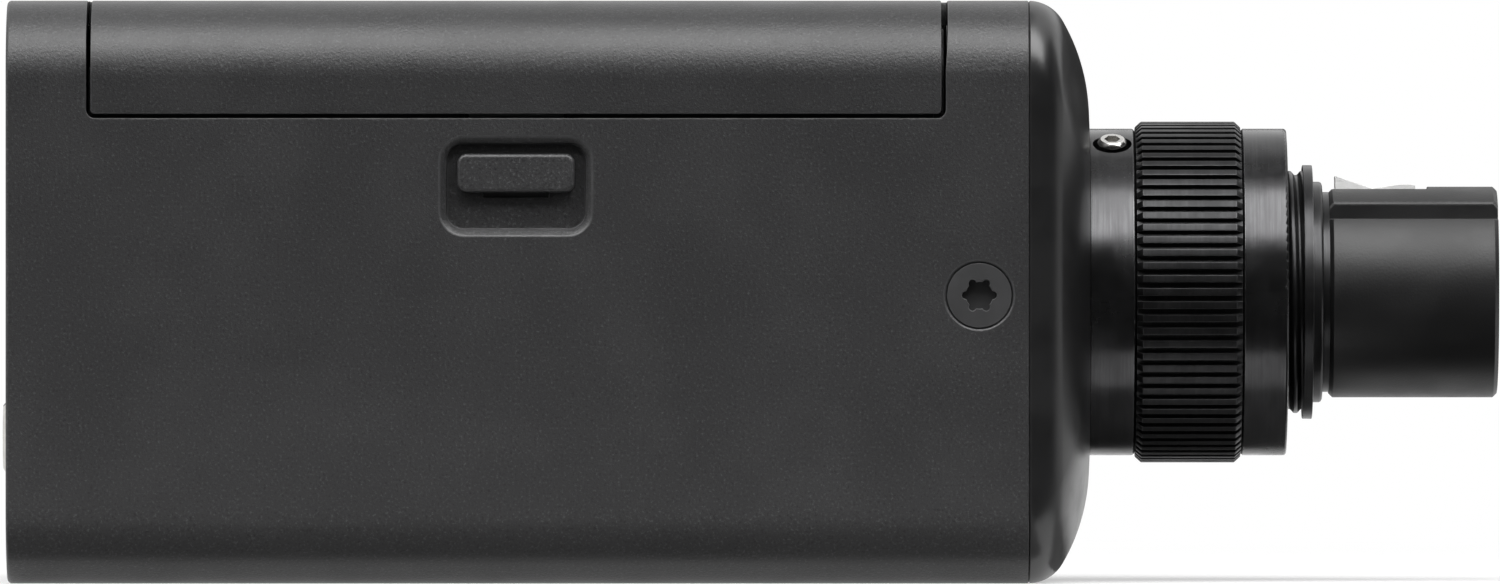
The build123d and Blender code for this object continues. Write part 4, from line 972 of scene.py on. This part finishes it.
class DressTail(bpy.types.Operator):
    """Dresses the tail panel with its button, socket rings and screws"""

    bl_idname = "transmitter.dress_tail"
    bl_label = "Tail panel"

    ring_bore = 1.8 * MM
    ring_pitch = 0.5 * MM
    ring_thread_depth = 0.2 * MM

    def execute(self, context):
        shape = context.scene.transmitter_shape
        softened_copy("end_panel", shape.fine_edge * 1.6)
        softened_copy("end_panel_screws", shape.fine_edge * 0.5)
        softened_copy("power_button", shape.fine_edge)
        softened_copy("usb_socket", shape.fine_edge)
        self.bushing()
        self.power_mark()
        coat("light_pipe", "jack_body")
        return {"FINISHED"}

    def bushing(self):
        """The jack's threaded ring."""
        low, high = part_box("jack_bushing")
        middle = Vector((0, 0, (low.z + high.z) / 2))
        outer, bore, step = (high.z - low.z) / 2, self.ring_bore, self.ring_pitch / 8
        flat, nick = 0.4 * MM, 0.12 * MM
        count = int((high.x - low.x - flat) / step)
        profile = [
            (low.x, bore + nick), (low.x, outer - 0.42 * MM), (low.x + 0.3 * MM, outer - 0.08 * MM),
            *((low.x + flat + i * step, outer) for i in range(count)),
            (high.x, outer), (high.x, bore), (low.x + nick, bore)]
        made = bmesh.new()
        spun(made, profile, 64, middle)
        reach = (low.x, high.x - 0.05 * MM)
        run_thread(
            made, outer, reach, self.ring_pitch, self.ring_thread_depth, middle, origin=low.x)
        bmesh.ops.recalc_face_normals(made, faces=made.faces)
        set_down("jack_bushing_finished", made, "case", "bright_nickel", ["jack_bushing"], angle=40)

    def power_mark(self):
        """A ring with a bar, printed on the button."""
        low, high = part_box("power_button")
        made = bmesh.new()
        centre = Vector((low.x - 0.012 * MM, 0, (low.z + high.z) / 2))
        verts = [
            made.verts.new(centre + Vector((0, 0, radius))) for radius in (1.15 * MM, 1.42 * MM)]
        turned = Matrix.Rotation(math.radians(35), 3, ALONG)
        bmesh.ops.rotate(made, cent=centre, matrix=turned, verts=verts)
        edge = made.edges.new(verts)
        bmesh.ops.spin(
            made, geom=verts + [edge], cent=centre, axis=ALONG, angle=math.radians(290), steps=40)
        bar = bmesh.ops.create_grid(made, x_segments=1, y_segments=2, size=0.5)["verts"]
        bmesh.ops.scale(made, vec=(0.27 * MM, 1.25 * MM, 1.0), verts=bar)
        upright = Matrix(((0, 0, -1), (1, 0, 0), (0, 1, 0)))
        bmesh.ops.rotate(made, cent=(0, 0, 0), matrix=upright, verts=bar)
        bmesh.ops.translate(made, vec=centre + Vector((0, 0, 1.2 * MM)), verts=bar)
        raise_marks(made, Vector((-1, 0, 0)), 0.01 * MM)
        set_down("power_mark", made, "power_button_body", "white_print", shading="plain")


class DressCatches(bpy.types.Operator):
    """Dresses the two door catches"""

    bl_idname = "transmitter.dress_catches"
    bl_label = "Door catches"

    def execute(self, context):
        shape = context.scene.transmitter_shape
        for side in ("right", "left"):
            softened_copy("catch_knob_" + side, shape.fine_edge * 1.4)
            softened_copy("catch_plate_" + side, shape.fine_edge)
            spring_piece("catch_spring_" + side)
        return {"FINISHED"}


class DressBay(bpy.types.Operator):
    """Dresses the battery bay and builds its two cells"""

    bl_idname = "transmitter.dress_bay"
    bl_label = "Battery bay"

    # Profiles from the flat end to the button: distance along and radius, in millimetres.
    can_profile = (
        (0.0, 0.0), (0.0, 4.6), (0.25, 4.9), (0.25, 5.6), (0.05, 5.9), (0.05, 6.5), (0.35, 6.85),
        (0.9, 6.95), (48.5, 6.95), (48.85, 6.8), (49.1, 6.4), (49.1, 5.7), (48.8, 5.4), (48.8, 3.0),
        (49.2, 2.72), (50.0, 2.7), (50.2, 2.5), (50.2, 0.0))
    sleeve_profile = (
        (0.3, 6.2), (0.15, 6.6), (0.3, 6.95), (0.7, 7.1), (48.3, 7.1), (48.8, 7.0), (49.0, 6.75),
        (49.05, 6.3))

    def execute(self, context):
        shape = context.scene.transmitter_shape
        softened_copy("battery_tray", shape.fine_edge * 2)
        softened_copy("contact_plates", shape.fine_edge)
        coat("battery_springs")
        self.cells()
        return {"FINISHED"}

    def cells(self):
        """Two AA cells, lying head to tail, with crimped ends."""
        low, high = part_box("aa_cells")
        spacing = (high.y - low.y) / 2 - (high.z - low.z) / 2
        reach = self.can_profile[-1][0] * MM
        for name, slot, profile in (
                ("cell_cans", "tinned_steel", self.can_profile),
                ("cell_sleeves", "cell_wrap", self.sleeve_profile)):
            made = bmesh.new()
            for side in (-1, 1):
                flat_end = high.x - reach if side == -1 else low.x + reach
                points = [(flat_end - side * along * MM, out * MM) for along, out in profile]
                middle = Vector((0.0, side * spacing, (low.z + high.z) / 2))
                spun(made, points, 72, middle, closed=False)
            set_down(name, made, "case", slot, ["aa_cells"], angle=35)


class DressControls(bpy.types.Operator):
    """Dresses the window, the display and the three keys, with their marks"""

    bl_idname = "transmitter.dress_controls"
    bl_label = "Display and keys"

    triangle_radius = 0.95 * MM
    ring_radius = 0.9 * MM
    ring_line = 0.26 * MM

    def execute(self, context):
        shape = context.scene.transmitter_shape
        softened_copy("display_window", shape.fine_edge)
        softened_copy("display_module", shape.fine_edge * 2)
        for key in ("key_up", "key_set", "key_down"):
            softened_copy(key, shape.fine_edge)
        coat("key_switches")
        self.key_marks()
        self.display_marks()
        return {"FINISHED"}

    def key_marks(self):
        """A triangle up, a ring and a triangle down."""
        for key, turn in (("key_up", 0.0), ("key_down", math.pi), ("key_set", None)):
            low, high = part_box(key)
            middle = (low + high) / 2
            made = bmesh.new()
            if turn is None:
                self.ring(made)
            else:
                self.triangle(made, turn)
            upright = Matrix.Rotation(math.radians(90), 3, "X")
            bmesh.ops.rotate(made, cent=(0, 0, 0), matrix=upright, verts=made.verts)
            bmesh.ops.translate(
                made, vec=(middle.x, high.y + 0.004 * MM, middle.z), verts=made.verts)
            raise_marks(made, Vector((0, 1, 0)), 0.008 * MM)
            set_down(key + "_mark", made, BODY_OF[key], "white_print", shading="plain")

    def ring(self, made):
        """A flat ring."""
        bmesh.ops.create_circle(made, cap_ends=True, radius=self.ring_radius, segments=40)
        rim = bmesh.ops.inset_region(
            made, faces=made.faces[:], thickness=self.ring_line, use_boundary=True)["faces"]
        bmesh.ops.delete(
            made, geom=[face for face in made.faces if face not in rim], context="FACES")

    def triangle(self, made, turn):
        """A flat triangle with rounded corners."""
        corners = bmesh.ops.create_circle(
            made, cap_ends=True, radius=self.triangle_radius, segments=3)["verts"]
        bmesh.ops.bevel(
            made, geom=corners, affect="VERTICES", offset=0.12 * MM, segments=3, profile=0.5,
            material=-1)
        bmesh.ops.rotate(
            made, cent=(0, 0, 0), matrix=Matrix.Rotation(turn, 3, "Z"), verts=made.verts)

    def display_marks(self):
        """A battery outline with its level, signal bars and a level meter on the display."""
        low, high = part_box("display_module")
        middle = Vector(((low.x + high.x) / 2, high.y + 0.01 * MM, (low.z + high.z) / 2))
        made = bmesh.new()
        for x0, x1, z0, z1 in self.display_bars():
            bar = bmesh.ops.create_grid(made, x_segments=1, y_segments=1, size=0.5)["verts"]
            upright = Matrix.Rotation(math.radians(90), 3, "X")
            bmesh.ops.rotate(made, cent=(0, 0, 0), matrix=upright, verts=bar)
            bmesh.ops.scale(made, vec=((x1 - x0) * MM, 1.0, (z1 - z0) * MM), verts=bar)
            offset = Vector(((x0 + x1) / 2 * MM, 0.0, (z0 + z1) / 2 * MM))
            bmesh.ops.translate(made, vec=middle + offset, verts=bar)
        raise_marks(made, Vector((0, 1, 0)), 0.01 * MM)
        set_down("display_marks", made, "case", "display_light", shading="plain")

    def display_bars(self):
        """The bars of the marks: left, right, bottom and top from the display's middle, in mm."""
        for level in range(3):
            yield -8.6 + level * 1.1, -7.8 + level * 1.1, 1.9, 3.1
        yield from (
            (-9.0, -4.9, 3.45, 3.65), (-9.0, -4.9, 1.35, 1.55), (-9.0, -8.8, 1.35, 3.65),
            (-5.1, -4.9, 1.35, 3.65), (-4.9, -4.5, 2.1, 2.9))
        for step in range(6):
            yield 3.6 + step * 0.9, 4.2 + step * 0.9, 1.35, 1.75 + step * 0.38
        for step in range(16):
            yield -9.0 + step * 1.13, -8.2 + step * 1.13, -2.9, -1.5 if step < 11 else -2.7


class DressCollar(bpy.types.Operator):
    """Dresses the neck, the set screw, the knurled grip and the clamping nut"""

    bl_idname = "transmitter.dress_collar"
    bl_label = "Collar"

    def execute(self, context):
        shape = context.scene.transmitter_shape
        softened_copy("collar_base", shape.fine_edge, angle=35, shading="turned")
        self.set_screw(shape)
        softened_copy("locking_nut", shape.fine_edge * 0.6, angle=35, shading="turned")
        softened_copy("grip_ring", shape.fine_edge * 0.9, angle=35)
        softened_copy("push_ring", shape.fine_edge * 2, shading="turned")
        coat("barrel_nut")
        return {"FINISHED"}

    def set_screw(self, shape):
        """The set screw, a little slimmer than its hole."""
        made = welded("set_screw")
        soften(made, shape.fine_edge)
        low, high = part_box("set_screw")
        middle = (low + high) / 2
        lean = math.atan2(-middle.y, middle.z - AXIS_Z)
        upright = Matrix.Rotation(-lean, 4, "X")
        upright @= Matrix.Translation(-Vector((middle.x, 0.0, AXIS_Z)))
        slim = Matrix.Diagonal((shape.screw_slimness, shape.screw_slimness, 1.0, 1.0))
        bmesh.ops.transform(made, matrix=upright.inverted() @ slim @ upright, verts=made.verts)
        set_down("set_screw_finished", made, "case", "bright_nickel", ["set_screw"])


class DressBarrel(bpy.types.Operator):
    """Builds the barrel with its thread and dresses the ring that holds the nut"""

    bl_idname = "transmitter.dress_barrel"
    bl_label = "Threaded barrel"

    bore_radius = 7.05 * MM
    rest_radius = 7.47 * MM
    groove_radius = 8.24 * MM
    thread_bore = 8.6 * MM
    face_from_dome = 3.44 * MM
    groove_from_disc = 0.74 * MM
    rest_length = 0.49 * MM
    edge = 0.14 * MM

    def execute(self, context):
        shape = context.scene.transmitter_shape
        low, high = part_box("xlr_barrel")
        disc = span("retaining_ring", 0)
        face = DOME_X + self.face_from_dome
        root = disc[0] + 0.02 * MM
        radius = (high.z - low.z) / 2
        groove_x = disc[1] + self.groove_from_disc
        rest_x = groove_x + self.rest_length
        edge = self.edge
        step = shape.thread_pitch / 10
        made = bmesh.new()
        spun(made, [
            (low.x, self.bore_radius), (rest_x, self.bore_radius), (rest_x, self.rest_radius),
            (groove_x, self.rest_radius), (groove_x, self.groove_radius - edge * 1.6),
            (groove_x - edge * 0.5, self.groove_radius - edge * 0.5),
            (groove_x - edge * 1.6, self.groove_radius), (root, self.groove_radius),
            *((root - i * step, radius) for i in range(int((disc[0] - face) / step))),
            (face, radius), (face, self.thread_bore), (low.x, self.thread_bore)], 144)
        reach = (face + 0.02 * MM, disc[1])
        run_thread(made, radius, reach, shape.thread_pitch, shape.thread_depth)
        set_down(
            "xlr_barrel_finished", made, "case", "anodised_thread", ["xlr_barrel"], angle=50)
        softened_copy("retaining_ring", shape.fine_edge, angle=35, shading="turned")
        return {"FINISHED"}


class DressConnector(bpy.types.Operator):
    """Dresses the connector's nose, insert, sockets and latch"""

    bl_idname = "transmitter.dress_connector"
    bl_label = "Connector"

    rail_over_axis = 6.0 * MM

    def execute(self, context):
        shape = context.scene.transmitter_shape
        self.nose(shape)
        softened_copy("xlr_insert", shape.fine_edge)
        softened_copy("xlr_contacts", shape.fine_edge)
        softened_copy("latch_lever", shape.fine_edge * 1.2, look="latch_painted_reflection")
        spring_piece("latch_spring")
        coat("latch_pin", "xlr_board")
        return {"FINISHED"}

    def nose(self, shape):
        """The nose, with a broader rounding along its rail."""
        made = welded("xlr_nose")
        rail = [
            edge for edge in made.edges
            if all(abs(abs(vert.co.y) - shape.rail_half_width) < 0.02 * MM
                   and vert.co.z > AXIS_Z + self.rail_over_axis for vert in edge.verts)
        ]
        bmesh.ops.bevel(
            made, geom=rail, affect="EDGES", offset_type="OFFSET", offset=shape.rail_edge,
            segments=4, profile=0.5, material=-1)
        soften(made, shape.fine_edge * 0.8, angle=35)
        set_down(
            "xlr_nose_finished", made, "case", "nose_coat", ["xlr_nose"], shading="turned")


class DressBoards(bpy.types.Operator):
    """Finishes the boards and what they carry"""

    bl_idname = "transmitter.dress_boards"
    bl_label = "Boards"

    def execute(self, context):
        coat("main_board", "key_board", "rear_board", "board_screws")
        coat("rf_shield", "power_switch", "status_led")
        return {"FINISHED"}


class TransmitterPanel(bpy.types.Panel):
    """Lists the steps of the dressing and what they use"""

    bl_idname = "VIEW3D_PT_transmitter"
    bl_label = "Transmitter"
    bl_space_type = "VIEW_3D"
    bl_region_type = "UI"
    bl_category = "Transmitter"

    def draw(self, context):
        for step in STEPS:
            self.layout.operator(step.bl_idname)
        for kit in ("transmitter_shape", "transmitter_finish", "transmitter_studio"):
            settings = getattr(context.scene, kit)
            for name in settings.bl_rna.properties.keys():
                if name not in ("rna_type", "name"):
                    self.layout.prop(settings, name)


STEPS = (
    DressStage, DressCase, DressDome, DressTail, DressCatches, DressBay, DressControls, DressCollar,
    DressBarrel, DressConnector, DressBoards,
)
KITS = {
    "transmitter_shape": TransmitterShape,
    "transmitter_finish": TransmitterFinish,
    "transmitter_studio": TransmitterStudio,
}


def register():
    for item in (*KITS.values(), *STEPS, TransmitterPanel):
        bpy.utils.register_class(item)
    for name, kit in KITS.items():
        setattr(bpy.types.Scene, name, bpy.props.PointerProperty(type=kit))


def unregister():
    for name in KITS:
        delattr(bpy.types.Scene, name)
    for item in (TransmitterPanel, *reversed(STEPS), *KITS.values()):
        bpy.utils.unregister_class(item)


def main():
    """Dresses the whole part."""
    register()
    for step in STEPS:
        group, name = step.bl_idname.split(".")
        getattr(getattr(bpy.ops, group), name)()


if __name__ == "__main__":
    main()
